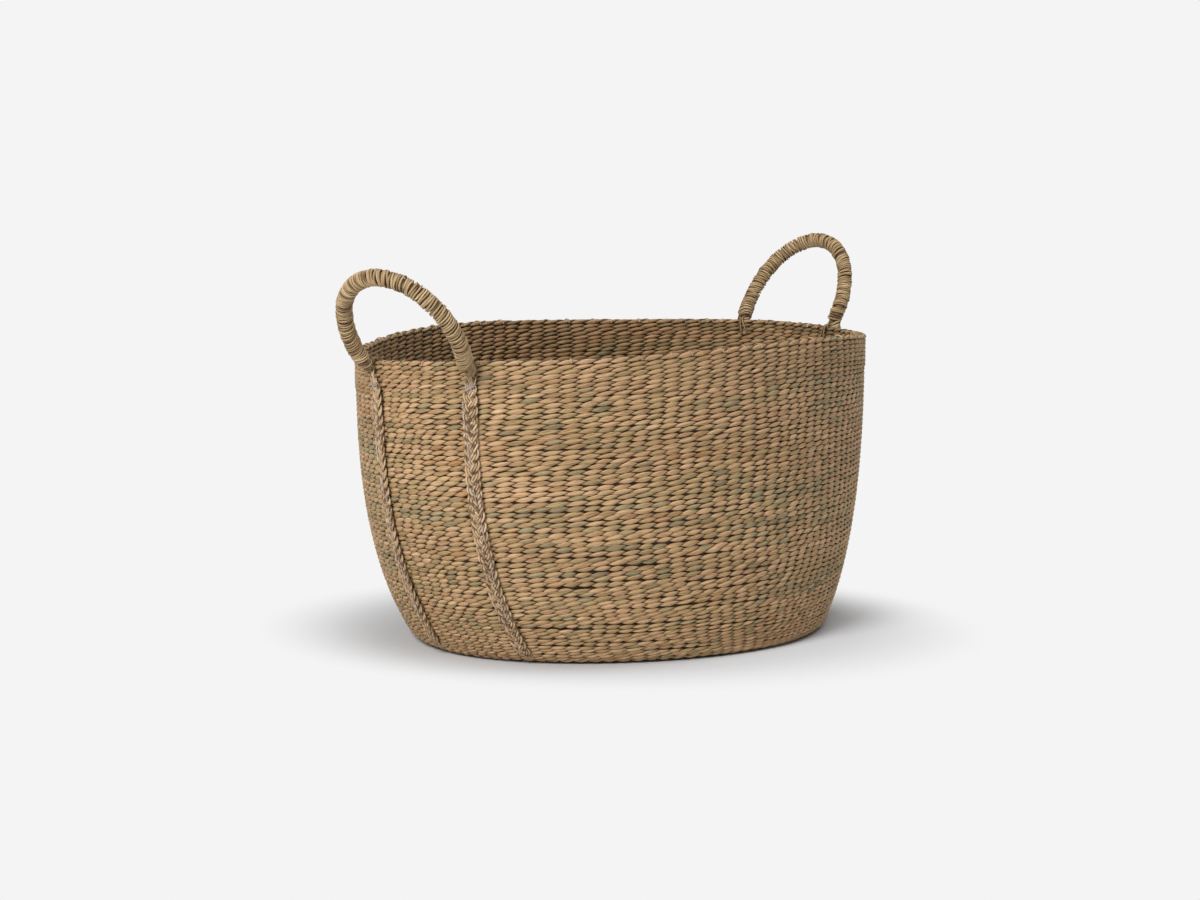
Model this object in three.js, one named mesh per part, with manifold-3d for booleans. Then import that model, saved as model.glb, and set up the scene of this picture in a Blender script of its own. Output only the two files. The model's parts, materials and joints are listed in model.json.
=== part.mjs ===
// A woven magazine basket with two wound rope handles, in millimetres, +Z up.
// The long axis is X, with a handle at each end, and the floor is the plane z = 0.

import * as THREE from "three";
import { mergeVertices } from "three/addons/utils/BufferGeometryUtils.js";
import Module from "manifold-3d";

const wasm = await Module();
wasm.setup();

// Driving sizes of the woven body
const wallHeight = 240;
const rimLength = 553;
const rimWidth = 350;
const floorLength = 386;
const floorWidth = 326;
const wallThickness = 6;
const baseThickness = 6;
const bottomEdgeRadius = 6;
const rimBandHeight = 28;
const rimBandProud = 1.2;
const rimBorderHeight = 3.2;
const rimBorderThickness = 6.5;
const rimBorderDip = 1.4;
const rimBorderBevel = 1.6;
const stakeCount = 92;

// Powers of the curves: how the wall leaves the floor, and how square its outline is
const endFlarePower = 2.77;
const sideFlarePower = 7;
const rimOutlinePower = 1.92;
const floorOutlinePower = 1.9;

// Driving sizes of the flat braids that carry the basket
const braidWidth = 12.5;
const braidThickness = 3.4;
const braidBevel = 1;
const braidSpacingAtRim = 86;
const braidSpacingAtFloor = 83;
const braidFloorGap = 0.2;
const braidBendHeight = 16;
const braidBendReach = 36;
const grooveClearance = 0.25;
const grooveOverrun = 6;

// Driving sizes of the handles and of their feet on the wall
const ropeDiameter = 13;
const coreDiameter = 7.6;
const strandWidth = 4.5;
const strandThickness = 2;
const strandGap = 0.8;
const handleRise = 73.5;
const handleBulge = 3.6;
const handleLeanDegrees = 38;
const hingeRise = 8;
const footDrop = 9;
const footCoreDiameter = 7.8;
const cupHalfAngleDegrees = 28;
const windingStart = 5.8;

// Driving sizes of the ties and the sewing thread
const tieWidth = 6;
const tieThickness = 2;
const tieDrop = 13;
const tieGap = 0.6;
const crossTieDrop = 20;
const crossTieWidth = 1.4;
const crossTieThickness = 1;
const crossTieAngleDegrees = 32;
const threadThickness = 0.8;
const threadInset = 1.6;
const threadTopDrop = 40;
const threadBottomHeight = 30;

// The gap that pieces keep where they touch
const clearance = 0.3;

// Counts of facets
const wallLevelShares = [0, 0.009, 0.028, 0.1, 0.22, 0.4, 0.66, 1];
const coreSides = 8;
const coreSteps = 26;
const strandSides = 5;
const strandStepsPerTurn = 8;
const latheSegments = 16;
const cupShares = [1, 0.5];
const coreEndAngles = [Math.PI / 12, Math.PI / 4];
const braidWallSteps = 16;
const braidBendSteps = 8;
const braidFloorSteps = 2;
const threadSteps = 14;

const materials = {
  weave: { color: 0xb09a72, roughness: 0.85 },
  band: { color: 0xa8916c, roughness: 0.85 },
  braid: { color: 0xa08a66, roughness: 0.8 },
  rope: { color: 0x9a8a64, roughness: 0.85 },
  winding: { color: 0xa89b72, roughness: 0.7 },
  tie: { color: 0x8f8a5c, roughness: 0.8 },
  thread: { color: 0xd8d4cc, roughness: 0.5 },
};

function namedMesh(name, geometry, finish) {
  const material = new THREE.MeshStandardMaterial({ ...materials[finish], metalness: 0 });
  const mesh = new THREE.Mesh(geometry, material);
  mesh.name = name;
  return mesh;
}

// Joins equal rings of points into one closed body. A loop's last ring meets its first.
function loft(rings, isLoop) {
  const size = rings[0].length;
  const points = rings.flat();
  const faces = [];
  const spans = isLoop ? rings.length : rings.length - 1;
  for (let i = 0; i < spans; i += 1) {
    const here = i * size;
    const next = ((i + 1) % rings.length) * size;
    for (let j = 0; j < size; j += 1) {
      const k = (j + 1) % size;
      faces.push([here + j, next + j, next + k], [here + j, next + k, here + k]);
    }
  }
  if (!isLoop) {
    capRing(points, faces, 0, size, true);
    capRing(points, faces, (rings.length - 1) * size, size, false);
  }
  return closedGeometry(points, faces);
}

function capRing(points, faces, first, size, isStart) {
  const middle = new THREE.Vector3();
  for (let j = 0; j < size; j += 1) {
    middle.add(points[first + j]);
  }
  middle.divideScalar(size);
  const centre = points.push(middle) - 1;
  for (let j = 0; j < size; j += 1) {
    const k = (j + 1) % size;
    faces.push(isStart ? [centre, first + j, first + k] : [centre, first + k, first + j]);
  }
}

// Turns every face round if the volume comes out negative
function closedGeometry(points, faces) {
  let volume = 0;
  const cross = new THREE.Vector3();
  for (const [a, b, c] of faces) {
    volume += points[a].dot(cross.crossVectors(points[b], points[c]));
  }
  const index = faces.flatMap(([a, b, c]) => (volume > 0 ? [a, b, c] : [a, c, b]));
  const geometry = new THREE.BufferGeometry();
  const xyz = points.flatMap((p) => [p.x, p.y, p.z]);
  geometry.setAttribute("position", new THREE.Float32BufferAttribute(xyz, 3));
  geometry.setIndex(index);
  return geometry;
}

function toSolid(geometry) {
  const bare = geometry.clone();
  bare.deleteAttribute("normal");
  bare.deleteAttribute("uv");
  const merged = mergeVertices(bare);
  return new wasm.Manifold(new wasm.Mesh({
    numProp: 3,
    vertProperties: merged.attributes.position.array,
    triVerts: Uint32Array.from(merged.index.array),
  }));
}

function toGeometry(solid) {
  const mesh = solid.getMesh();
  const geometry = new THREE.BufferGeometry();
  geometry.setAttribute("position", new THREE.BufferAttribute(mesh.vertProperties, mesh.numProp));
  geometry.setIndex(new THREE.BufferAttribute(mesh.triVerts, 1));
  return geometry;
}

// Half sizes and squareness of the wall's outer outline at a height
function outlineAt(height) {
  const share = THREE.MathUtils.clamp(height / wallHeight, 0, 1);
  const endRise = (1 - share) ** endFlarePower;
  const sideRise = (1 - share) ** sideFlarePower;
  const below = Math.max(0, bottomEdgeRadius - height);
  const inset = bottomEdgeRadius - Math.sqrt(bottomEdgeRadius ** 2 - below ** 2);
  return {
    halfLength: rimLength / 2 - ((rimLength - floorLength) / 2) * endRise - inset,
    halfWidth: rimWidth / 2 - ((rimWidth - floorWidth) / 2) * sideRise - inset,
    power: THREE.MathUtils.lerp(floorOutlinePower, rimOutlinePower, share),
  };
}

// Direction in which the outline faces, level with the floor
function outwardAt(turn, height) {
  const { halfLength, halfWidth, power } = outlineAt(height);
  const slope = 2 - 2 / power;
  const x = (Math.sign(Math.cos(turn)) * Math.abs(Math.cos(turn)) ** slope) / halfLength;
  const y = (Math.sign(Math.sin(turn)) * Math.abs(Math.sin(turn)) ** slope) / halfWidth;
  return new THREE.Vector3(x, y, 0).normalize();
}

// A point of the wall at a turn round the outline, moved out by a distance
function wallPoint(turn, height, out) {
  const { halfLength, halfWidth, power } = outlineAt(height);
  const c = Math.cos(turn);
  const s = Math.sin(turn);
  const x = halfLength * Math.sign(c) * Math.abs(c) ** (2 / power);
  const y = halfWidth * Math.sign(s) * Math.abs(s) ** (2 / power);
  return new THREE.Vector3(x, y, height).addScaledVector(outwardAt(turn, height), out);
}

// The turn at which the outline of a height has a given distance across the basket
function turnAcross(across, height) {
  const { halfWidth, power } = outlineAt(height);
  return Math.asin((across / halfWidth) ** (power / 2));
}

function stakeTurn(i) {
  return (2 * Math.PI * i) / stakeCount;
}

// The braid that lies on the +Y side of the long axis, from one foot to the other
const bandBottom = wallHeight - rimBandHeight;
const braidTop = wallHeight - footDrop - clearance;
const braidRunLevel = braidFloorGap + braidThickness / 2;

function braidAcross(height) {
  const share = height / wallHeight;
  return THREE.MathUtils.lerp(braidSpacingAtFloor, braidSpacingAtRim, share) / 2;
}

// How far the braid's middle stands off the wall, with the step over the rim band
function braidStandOff(height) {
  const ramp = THREE.MathUtils.smoothstep(height, bandBottom - rimBandHeight, bandBottom);
  return clearance + braidThickness / 2 + rimBandProud * ramp;
}

function surfaceAt(height) {
  const turn = turnAcross(braidAcross(height), height);
  const step = clearance;
  const above = wallPoint(turn, height + step, 0);
  const up = above.sub(wallPoint(turn, height - step, 0)).normalize();
  const flat = outwardAt(turn, height);
  const across = new THREE.Vector3(-flat.y, flat.x, 0);
  const out = new THREE.Vector3().crossVectors(across, up).normalize();
  return { point: wallPoint(turn, height, 0), across, out };
}

function braidWallStation(height) {
  const { point, across, out } = surfaceAt(height);
  return { point: point.addScaledVector(out, braidStandOff(height)), across };
}

function braidStations() {
  const stations = [];
  const drop = (braidTop - braidBendHeight) / braidWallSteps;
  for (let i = 0; i <= braidWallSteps; i += 1) {
    stations.push(braidWallStation(braidTop - i * drop));
  }
  const bendTop = stations.at(-1);
  const down = bendTop.point.clone().sub(stations.at(-2).point).normalize();
  const runStart = bendTop.point.clone();
  runStart.x -= braidBendReach;
  runStart.y = braidSpacingAtFloor / 2;
  runStart.z = braidRunLevel;
  const reach = braidBendReach / 3;
  const towardEnd = new THREE.Vector3(reach, 0, 0);
  const bend = new THREE.CubicBezierCurve3(
    bendTop.point,
    bendTop.point.clone().addScaledVector(down, reach),
    runStart.clone().add(towardEnd),
    runStart,
  );
  const level = new THREE.Vector3(0, 1, 0);
  for (let i = 1; i <= braidBendSteps; i += 1) {
    const share = i / braidBendSteps;
    const across = bendTop.across.clone().lerp(level, share).normalize();
    stations.push({ point: bend.getPoint(share), across });
  }
  for (let i = 1; i <= braidFloorSteps; i += 1) {
    const point = runStart.clone();
    point.x *= 1 - i / braidFloorSteps;
    stations.push({ point, across: level });
  }
  const far = stations.slice(0, -1).reverse().map(({ point, across }) => ({
    point: new THREE.Vector3(-point.x, point.y, point.z),
    across: new THREE.Vector3(-across.x, across.y, across.z),
  }));
  return stations.concat(far);
}

// Rings of a flat section along stations, with the side away from the wall as its face
function flatRings(stations, sectionPoints) {
  return stations.map(({ point, across }, i) => {
    const before = stations[Math.max(0, i - 1)].point;
    const after = stations[Math.min(stations.length - 1, i + 1)].point;
    const along = after.clone().sub(before).normalize();
    const out = new THREE.Vector3().crossVectors(along, across).normalize();
    const side = new THREE.Vector3().crossVectors(out, along).normalize();
    return sectionPoints.map(([a, b]) => (
      point.clone().addScaledVector(side, a).addScaledVector(out, b)
    ));
  });
}

function braidSection() {
  const w = braidWidth / 2;
  const flat = w - braidBevel;
  const half = braidThickness / 2;
  return [[-w, 0], [-flat, -half], [flat, -half], [w, 0], [flat, half], [-flat, half]];
}

function grooveSection() {
  const w = braidWidth / 2 + grooveClearance;
  const inner = braidThickness / 2 + grooveClearance;
  return [[-w, -inner], [w, -inner], [w, grooveOverrun], [-w, grooveOverrun]];
}

const stations = braidStations();
const halfBraid = braidThickness / 2;
const braidSolid = loft(flatRings(stations, braidSection()));
const grooveStations = stations.slice(braidWallSteps, -braidWallSteps);
const grooveCutter = toSolid(loft(flatRings(grooveStations, grooveSection())));
const bothGrooves = grooveCutter.add(grooveCutter.rotate([0, 0, 180]));

function wallWeave() {
  const top = bandBottom - clearance;
  const rings = [];
  for (let i = 0; i < stakeCount; i += 1) {
    const turn = stakeTurn(i);
    const outer = wallLevelShares.map((share) => wallPoint(turn, share * top, 0));
    const inner = wallLevelShares.map((share) => wallPoint(turn, share * top, -wallThickness));
    rings.push(outer.concat(inner.reverse()));
  }
  return toGeometry(toSolid(loft(rings, true)).subtract(bothGrooves));
}

function baseWeave() {
  const gap = wallThickness + clearance;
  const rings = [0, baseThickness].map((height) => (
    Array.from({ length: stakeCount }, (_, i) => wallPoint(stakeTurn(i), height, -gap))
  ));
  return toGeometry(toSolid(loft(rings)).subtract(bothGrooves));
}

const borderBottom = wallHeight - rimBorderHeight;
const bandTop = borderBottom - clearance;
const bandInner = wallThickness + rimBandProud;

function rimBand() {
  const roundOff = rimBandProud;
  const profile = [
    [rimBandProud - roundOff, bandBottom],
    [rimBandProud, bandBottom + roundOff],
    [rimBandProud, bandTop],
    [-bandInner, bandTop],
    [-bandInner, bandBottom + roundOff],
    [roundOff - bandInner, bandBottom],
  ];
  const rings = [];
  for (let i = 0; i < stakeCount; i += 1) {
    rings.push(profile.map(([out, height]) => wallPoint(stakeTurn(i), height, out)));
  }
  return loft(rings, true);
}

// A low knot at each stake, with a dip between it and the next
function rimBorder() {
  const middle = (rimBandProud - bandInner) / 2;
  const outer = middle + rimBorderThickness / 2;
  const inner = middle - rimBorderThickness / 2;
  const rings = [];
  for (let i = 0; i < 2 * stakeCount; i += 1) {
    const top = wallHeight - (i % 2) * rimBorderDip;
    const profile = [
      [outer, borderBottom],
      [outer - rimBorderBevel, top],
      [inner + rimBorderBevel, top],
      [inner, borderBottom],
    ];
    rings.push(profile.map(([out, height]) => wallPoint(stakeTurn(i / 2), height, out)));
  }
  return loft(rings, true);
}

// The handle foot stands against the band, straight above the braid
const ropeRadius = ropeDiameter / 2;
const footTurn = turnAcross(braidSpacingAtRim / 2, wallHeight);
const footOut = rimBandProud + clearance + ropeRadius;
const footAxis = wallPoint(footTurn, wallHeight, footOut);
const hingeHeight = wallHeight + hingeRise;
const cupRadius = coreDiameter / 2 + clearance;
const cupHalfAngle = THREE.MathUtils.degToRad(cupHalfAngleDegrees);
const footTop = hingeHeight - cupRadius * Math.cos(cupHalfAngle);
const footBottom = wallHeight - footDrop;

// The handle's centre line, an arc of an ellipse in a plane that leans out from the hinge
const handleHalfSpan = footAxis.y + handleBulge;
const handleSweep = Math.PI - Math.asin(footAxis.y / handleHalfSpan);
const handleHalfRise = handleRise / (1 - Math.cos(handleSweep));
const handleLean = THREE.MathUtils.degToRad(handleLeanDegrees);

class HandleArch extends THREE.Curve {
  getPoint(t, target = new THREE.Vector3()) {
    const angle = (2 * t - 1) * handleSweep;
    const rise = handleHalfRise * (Math.cos(angle) - Math.cos(handleSweep));
    return target.set(
      footAxis.x + rise * Math.sin(handleLean),
      handleHalfSpan * Math.sin(angle),
      hingeHeight + rise * Math.cos(handleLean),
    );
  }
}

// A round section round a curve, with a round end about each end point
function handleCore(arch) {
  const radius = coreDiameter / 2;
  const normal = new THREE.Vector3(Math.cos(handleLean), 0, -Math.sin(handleLean));
  const ring = (share, shift, size) => {
    const along = arch.getTangentAt(share);
    const side = new THREE.Vector3().crossVectors(along, normal);
    const middle = arch.getPointAt(share).addScaledVector(along, shift);
    return Array.from({ length: coreSides }, (_, j) => {
      const angle = (2 * Math.PI * j) / coreSides;
      return middle.clone()
        .addScaledVector(normal, size * Math.cos(angle))
        .addScaledVector(side, size * Math.sin(angle));
    });
  };
  const rings = coreEndAngles.map((a) => ring(0, -radius * Math.cos(a), radius * Math.sin(a)));
  for (let i = 0; i <= coreSteps; i += 1) {
    rings.push(ring(i / coreSteps, 0, radius));
  }
  const ends = coreEndAngles.map((a) => ring(1, radius * Math.cos(a), radius * Math.sin(a)));
  return loft(rings.concat(ends.reverse()));
}

// A flat strand wound round a curve in one unbroken helix, with straight ends. It makes as
// many turns as fit between the two ends with the strand's width and its gap
function winding(curve, inset, upright) {
  const helixRadius = ropeRadius - strandThickness / 2;
  const length = curve.getLength();
  const turns = (length - 2 * inset) / (strandWidth + strandGap);
  const steps = Math.floor(turns * strandStepsPerTurn);
  const centres = [];
  const hubs = [];
  for (let i = 0; i <= steps; i += 1) {
    const share = THREE.MathUtils.lerp(inset, length - inset, i / steps) / length;
    const hub = curve.getPointAt(share);
    const side = new THREE.Vector3().crossVectors(curve.getTangentAt(share), upright).normalize();
    const front = new THREE.Vector3().crossVectors(side, curve.getTangentAt(share)).normalize();
    const angle = (2 * Math.PI * i) / strandStepsPerTurn;
    hubs.push(hub);
    centres.push(hub.clone()
      .addScaledVector(front, helixRadius * Math.cos(angle))
      .addScaledVector(side, helixRadius * Math.sin(angle)));
  }
  const first = centres[0].clone().sub(centres[1]).setLength(strandThickness);
  const last = centres.at(-1).clone().sub(centres.at(-2)).setLength(strandThickness);
  centres.unshift(centres[0].clone().add(first));
  centres.push(centres.at(-1).clone().add(last));
  hubs.unshift(hubs[0].clone());
  hubs.push(hubs.at(-1).clone());
  const rings = centres.map((centre, i) => {
    const before = centres[Math.max(0, i - 1)];
    const after = centres[Math.min(centres.length - 1, i + 1)];
    const along = after.clone().sub(before).normalize();
    const out = centre.clone().sub(hubs[i]);
    out.addScaledVector(along, -out.dot(along)).normalize();
    const side = new THREE.Vector3().crossVectors(along, out);
    return Array.from({ length: strandSides }, (_, j) => {
      const angle = (2 * Math.PI * j) / strandSides;
      return centre.clone()
        .addScaledVector(out, (strandThickness / 2) * Math.cos(angle))
        .addScaledVector(side, (strandWidth / 2) * Math.sin(angle));
    });
  });
  return rings;
}

// The least distance between points of the tube that are most of a turn apart or more
function leastGap(rings) {
  let least = Infinity;
  for (let i = 0; i < rings.length; i += 1) {
    const last = Math.min(rings.length, i + 2 * strandStepsPerTurn);
    for (let j = i + strandStepsPerTurn - 2; j < last; j += 1) {
      for (const p of rings[i]) {
        for (const q of rings[j]) {
          least = Math.min(least, p.distanceTo(q));
        }
      }
    }
  }
  return least;
}

function footCore() {
  const radius = footCoreDiameter / 2;
  const profile = [new THREE.Vector2(0, footBottom), new THREE.Vector2(radius, footBottom)];
  profile.push(new THREE.Vector2(radius, footTop));
  for (const share of cupShares) {
    const angle = cupHalfAngle * share;
    const drop = cupRadius * Math.cos(angle);
    profile.push(new THREE.Vector2(cupRadius * Math.sin(angle), hingeHeight - drop));
  }
  profile.push(new THREE.Vector2(0, hingeHeight - cupRadius));
  return new THREE.LatheGeometry(profile, latheSegments).rotateX(Math.PI / 2);
}

// A strip that runs from the foot over the rim and down inside the wall
function footTie() {
  const low = wallHeight + clearance;
  const high = low + tieThickness;
  const near = -bandInner - tieGap;
  const far = near - tieThickness;
  const outer = rimBandProud;
  const bevel = tieThickness / 2;
  const outline = [
    [outer, low],
    [outer, high],
    [far + bevel, high],
    [far, high - bevel],
    [far, wallHeight - tieDrop],
    [near, wallHeight - tieDrop],
    [near, low],
  ];
  const shape = new THREE.Shape(outline.map(([x, y]) => new THREE.Vector2(x, y)));
  const solid = new THREE.ExtrudeGeometry(shape, { depth: tieWidth, bevelEnabled: false });
  return solid.translate(0, 0, -tieWidth / 2).rotateX(Math.PI / 2);
}

// Two thin strands that cross over the braid and reach back to the wall beside it
function crossTie() {
  const reach = braidWidth / 2 + clearance;
  const face = braidThickness + clearance;
  const outline = [
    [-reach, 0],
    [-reach, face],
    [reach, face],
    [reach, 0],
    [reach + crossTieThickness, 0],
    [reach + crossTieThickness, face + crossTieThickness],
    [-reach - crossTieThickness, face + crossTieThickness],
    [-reach - crossTieThickness, 0],
  ];
  const widen = 1 / Math.cos(THREE.MathUtils.degToRad(crossTieAngleDegrees));
  const points = outline.map(([x, y]) => new THREE.Vector2(x * widen, y));
  const settings = { depth: crossTieWidth, bevelEnabled: false };
  const strand = new THREE.ExtrudeGeometry(new THREE.Shape(points), settings);
  strand.translate(0, 0, -crossTieWidth / 2);
  const solid = toSolid(strand);
  const one = solid.rotate([0, crossTieAngleDegrees, 0]);
  return toGeometry(one.add(solid.rotate([0, -crossTieAngleDegrees, 0])));
}

// Places a piece at a height of the braid: x across it, y out of the wall and z up
function onBraid(geometry, height, out, mirror) {
  const { point, across, out: outward } = surfaceAt(height);
  const upward = new THREE.Vector3().crossVectors(across, outward);
  const matrix = new THREE.Matrix4().makeBasis(across, outward, upward);
  matrix.setPosition(point.addScaledVector(outward, out));
  const placed = geometry.clone().applyMatrix4(matrix);
  return mirror ? mirrored(placed) : placed;
}

// The same piece on the other side of the long axis
function mirrored(geometry) {
  const flipped = geometry.clone().scale(1, -1, 1);
  const indexed = flipped.index ? flipped : mergeVertices(flipped);
  const index = indexed.index.array;
  for (let i = 0; i < index.length; i += 3) {
    [index[i + 1], index[i + 2]] = [index[i + 2], index[i + 1]];
  }
  return indexed;
}

// The sewing thread that lies along one edge of a braid
function sewingThread(mirror) {
  const top = wallHeight - threadTopDrop;
  const half = threadThickness / 2;
  const threadStations = Array.from({ length: threadSteps + 1 }, (_, i) => {
    const height = THREE.MathUtils.lerp(top, threadBottomHeight, i / threadSteps);
    const { point, across, out } = surfaceAt(height);
    point.addScaledVector(out, braidStandOff(height) + halfBraid + clearance + half);
    point.addScaledVector(across, threadInset - braidWidth / 2);
    return { point, across };
  });
  const section = [[-half, -half], [half, -half], [half, half], [-half, half]];
  const thread = loft(flatRings(threadStations, section));
  return mirror ? mirrored(thread) : thread;
}

function footPieces(end, side, mirror) {
  const pieces = new THREE.Group();
  const place = (name, geometry, finish) => {
    pieces.add(namedMesh(`${name}_${end}_${side}`, geometry, finish));
  };
  const axis = footAxis.clone();
  axis.y *= mirror ? -1 : 1;

  place("foot_core", footCore().translate(axis.x, axis.y, 0), "rope");

  const straight = new THREE.LineCurve3(
    new THREE.Vector3(axis.x, axis.y, footBottom),
    new THREE.Vector3(axis.x, axis.y, footTop),
  );
  const rings = winding(straight, strandWidth / 2, new THREE.Vector3(1, 0, 0));
  console.log(`foot_winding_${end}_${side} least gap to itself ${leastGap(rings).toFixed(2)} mm`);
  place("foot_winding", loft(rings), "winding");

  const outward = outwardAt(footTurn, wallHeight);
  const heading = Math.atan2(outward.y, outward.x) * (mirror ? -1 : 1);
  const tie = footTie().rotateZ(heading);
  const rimPoint = wallPoint(footTurn, wallHeight, 0);
  place("foot_tie", tie.translate(rimPoint.x, rimPoint.y * (mirror ? -1 : 1), 0), "tie");

  const crossHeight = wallHeight - crossTieDrop;
  place("braid_tie", onBraid(crossTie(), crossHeight, rimBandProud + clearance, mirror), "thread");
  place("braid_thread", sewingThread(mirror), "thread");
  return pieces;
}

function handlePieces(end) {
  const arch = new HandleArch();
  const pieces = new THREE.Group();
  pieces.add(namedMesh(`handle_core_${end}`, handleCore(arch), "rope"));
  const normal = new THREE.Vector3(Math.cos(handleLean), 0, -Math.sin(handleLean));
  const rings = winding(arch, windingStart, normal);
  console.log(`handle_winding_${end} least gap to itself ${leastGap(rings).toFixed(2)} mm`);
  pieces.add(namedMesh(`handle_winding_${end}`, loft(rings), "winding"));
  return pieces;
}

// Everything at one end; the left end is the right end turned half round
function endPieces(end, sides) {
  const pieces = new THREE.Group();
  pieces.add(handlePieces(end));
  pieces.add(footPieces(end, sides[0], false));
  pieces.add(footPieces(end, sides[1], true));
  return pieces;
}

const basket = new THREE.Group();
basket.add(namedMesh("base_weave", baseWeave(), "weave"));
basket.add(namedMesh("wall_weave", wallWeave(), "weave"));
basket.add(namedMesh("rim_band", rimBand(), "band"));
basket.add(namedMesh("rim_border", rimBorder(), "band"));

const braidBack = namedMesh("braid_back", braidSolid, "braid");
const braidFront = namedMesh("braid_front", braidSolid, "braid");
braidFront.rotation.z = Math.PI;
basket.add(braidBack, braidFront);

const leftEnd = endPieces("left", ["front", "back"]);
leftEnd.rotation.z = Math.PI;
basket.add(endPieces("right", ["back", "front"]), leftEnd);

export default basket;
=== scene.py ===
"""Builds the looks of a twined seagrass magazine basket round its fixed frame. Sizes are in metres."""

import json
import math
from functools import partialmethod

import bpy
import numpy as np
from bpy.props import FloatProperty, FloatVectorProperty, IntProperty, PointerProperty
from bpy.types import Operator, Panel, PropertyGroup
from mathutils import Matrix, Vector


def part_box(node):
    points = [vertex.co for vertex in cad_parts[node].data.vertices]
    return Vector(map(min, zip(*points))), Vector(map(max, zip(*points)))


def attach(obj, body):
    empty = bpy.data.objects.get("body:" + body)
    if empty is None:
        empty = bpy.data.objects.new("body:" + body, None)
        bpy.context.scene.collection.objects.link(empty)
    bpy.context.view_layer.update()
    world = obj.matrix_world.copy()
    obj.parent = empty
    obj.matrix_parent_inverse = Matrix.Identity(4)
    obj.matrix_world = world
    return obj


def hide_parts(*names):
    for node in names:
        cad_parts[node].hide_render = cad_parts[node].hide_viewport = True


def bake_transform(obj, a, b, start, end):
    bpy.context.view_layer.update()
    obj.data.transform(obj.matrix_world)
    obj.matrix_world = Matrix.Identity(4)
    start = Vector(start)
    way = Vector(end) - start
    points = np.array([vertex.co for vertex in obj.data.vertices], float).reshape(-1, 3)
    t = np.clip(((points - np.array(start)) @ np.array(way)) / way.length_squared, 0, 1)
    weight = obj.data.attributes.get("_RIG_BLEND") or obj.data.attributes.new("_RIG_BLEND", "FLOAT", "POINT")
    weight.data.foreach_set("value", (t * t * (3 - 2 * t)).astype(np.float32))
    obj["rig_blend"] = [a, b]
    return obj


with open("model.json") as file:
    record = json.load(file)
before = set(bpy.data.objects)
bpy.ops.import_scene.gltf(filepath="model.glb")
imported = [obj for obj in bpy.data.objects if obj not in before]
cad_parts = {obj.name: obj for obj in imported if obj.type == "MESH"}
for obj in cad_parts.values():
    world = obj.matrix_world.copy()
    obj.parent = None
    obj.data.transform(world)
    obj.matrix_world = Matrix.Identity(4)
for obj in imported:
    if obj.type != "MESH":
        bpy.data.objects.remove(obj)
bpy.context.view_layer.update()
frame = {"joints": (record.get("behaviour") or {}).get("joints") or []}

bl_info = {
    "name": "Magazine Basket",
    "version": (1, 0, 0),
    "blender": (4, 5, 0),
    "location": "3D View > Sidebar > Basket",
    "description": "Builds a twined seagrass magazine basket with two wound rope handles",
    "category": "Add Mesh",
}

# Values that the frame fixes
MM = 0.001
FULL_TURN = 2 * math.pi
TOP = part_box("rim_border")[1].z
band_low, band_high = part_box("rim_band")
wall_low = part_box("wall_weave")[0]
foot_low, foot_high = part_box("foot_core_right_back")
hinge = Vector(next(j for j in frame["joints"] if j["child"] == "right_handle")["pos_m"])

ENDS = {"right": 1, "left": -1}
SIDES = {"back": 1, "front": -1}
CORNERS = [(end, side) for end in ENDS for side in SIDES]


def linear(*levels):
    """A colour written in eight bit display levels, as the linear colour that shaders take."""
    shares = [level / 255 for level in levels]
    return tuple(s / 12.92 if s <= 0.04045 else ((s + 0.055) / 1.055) ** 2.4 for s in shares)


def count_value(name, description, default):
    return IntProperty(name=name, description=description, default=default)


def plain_value(name, description, default, **kind):
    return FloatProperty(name=name, description=description, default=default, **kind)


def length_value(name, description, default):
    return plain_value(name, description, default, unit="LENGTH", precision=4)


def share_value(name, description, default):
    return plain_value(name, description, default, subtype="FACTOR")


def colour_value(name, description, *levels):
    return FloatVectorProperty(
        name=name, description=description, default=linear(*levels), subtype="COLOR", min=0, max=1
    )


def pair_value(name, description, left, right, unit="LENGTH"):
    return FloatVectorProperty(
        name=name, description=description + ", of the left and the right handle", size=2,
        default=(left, right), unit=unit, precision=4,
    )


class BasketShape(PropertyGroup):
    """The outline of the woven body."""

    wall_height: length_value("Wall Height", "Height of the wall with its border", TOP)
    band_proud: length_value("Band Proud", "How far the band stands out of the wall", 1.2 * MM)
    rim_length: length_value("Rim Length", "Length over the rim", 553 * MM)
    rim_width: length_value("Rim Width", "Width over the rim", 350 * MM)
    floor_length: length_value("Floor Length", "Length over the floor", 386 * MM)
    floor_width: length_value("Floor Width", "Width over the floor", 326 * MM)
    edge_radius: length_value("Edge Radius", "Round edge between floor and wall", 6 * MM)
    end_flare: plain_value("End Flare", "Power of the flare of the ends", 2.77)
    side_flare: plain_value("Side Flare", "Power of the flare of the sides", 7)
    rim_power: plain_value("Rim Power", "Power of the rim's oval", 1.92)
    floor_power: plain_value("Floor Power", "Power of the floor's oval", 1.9)


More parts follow.
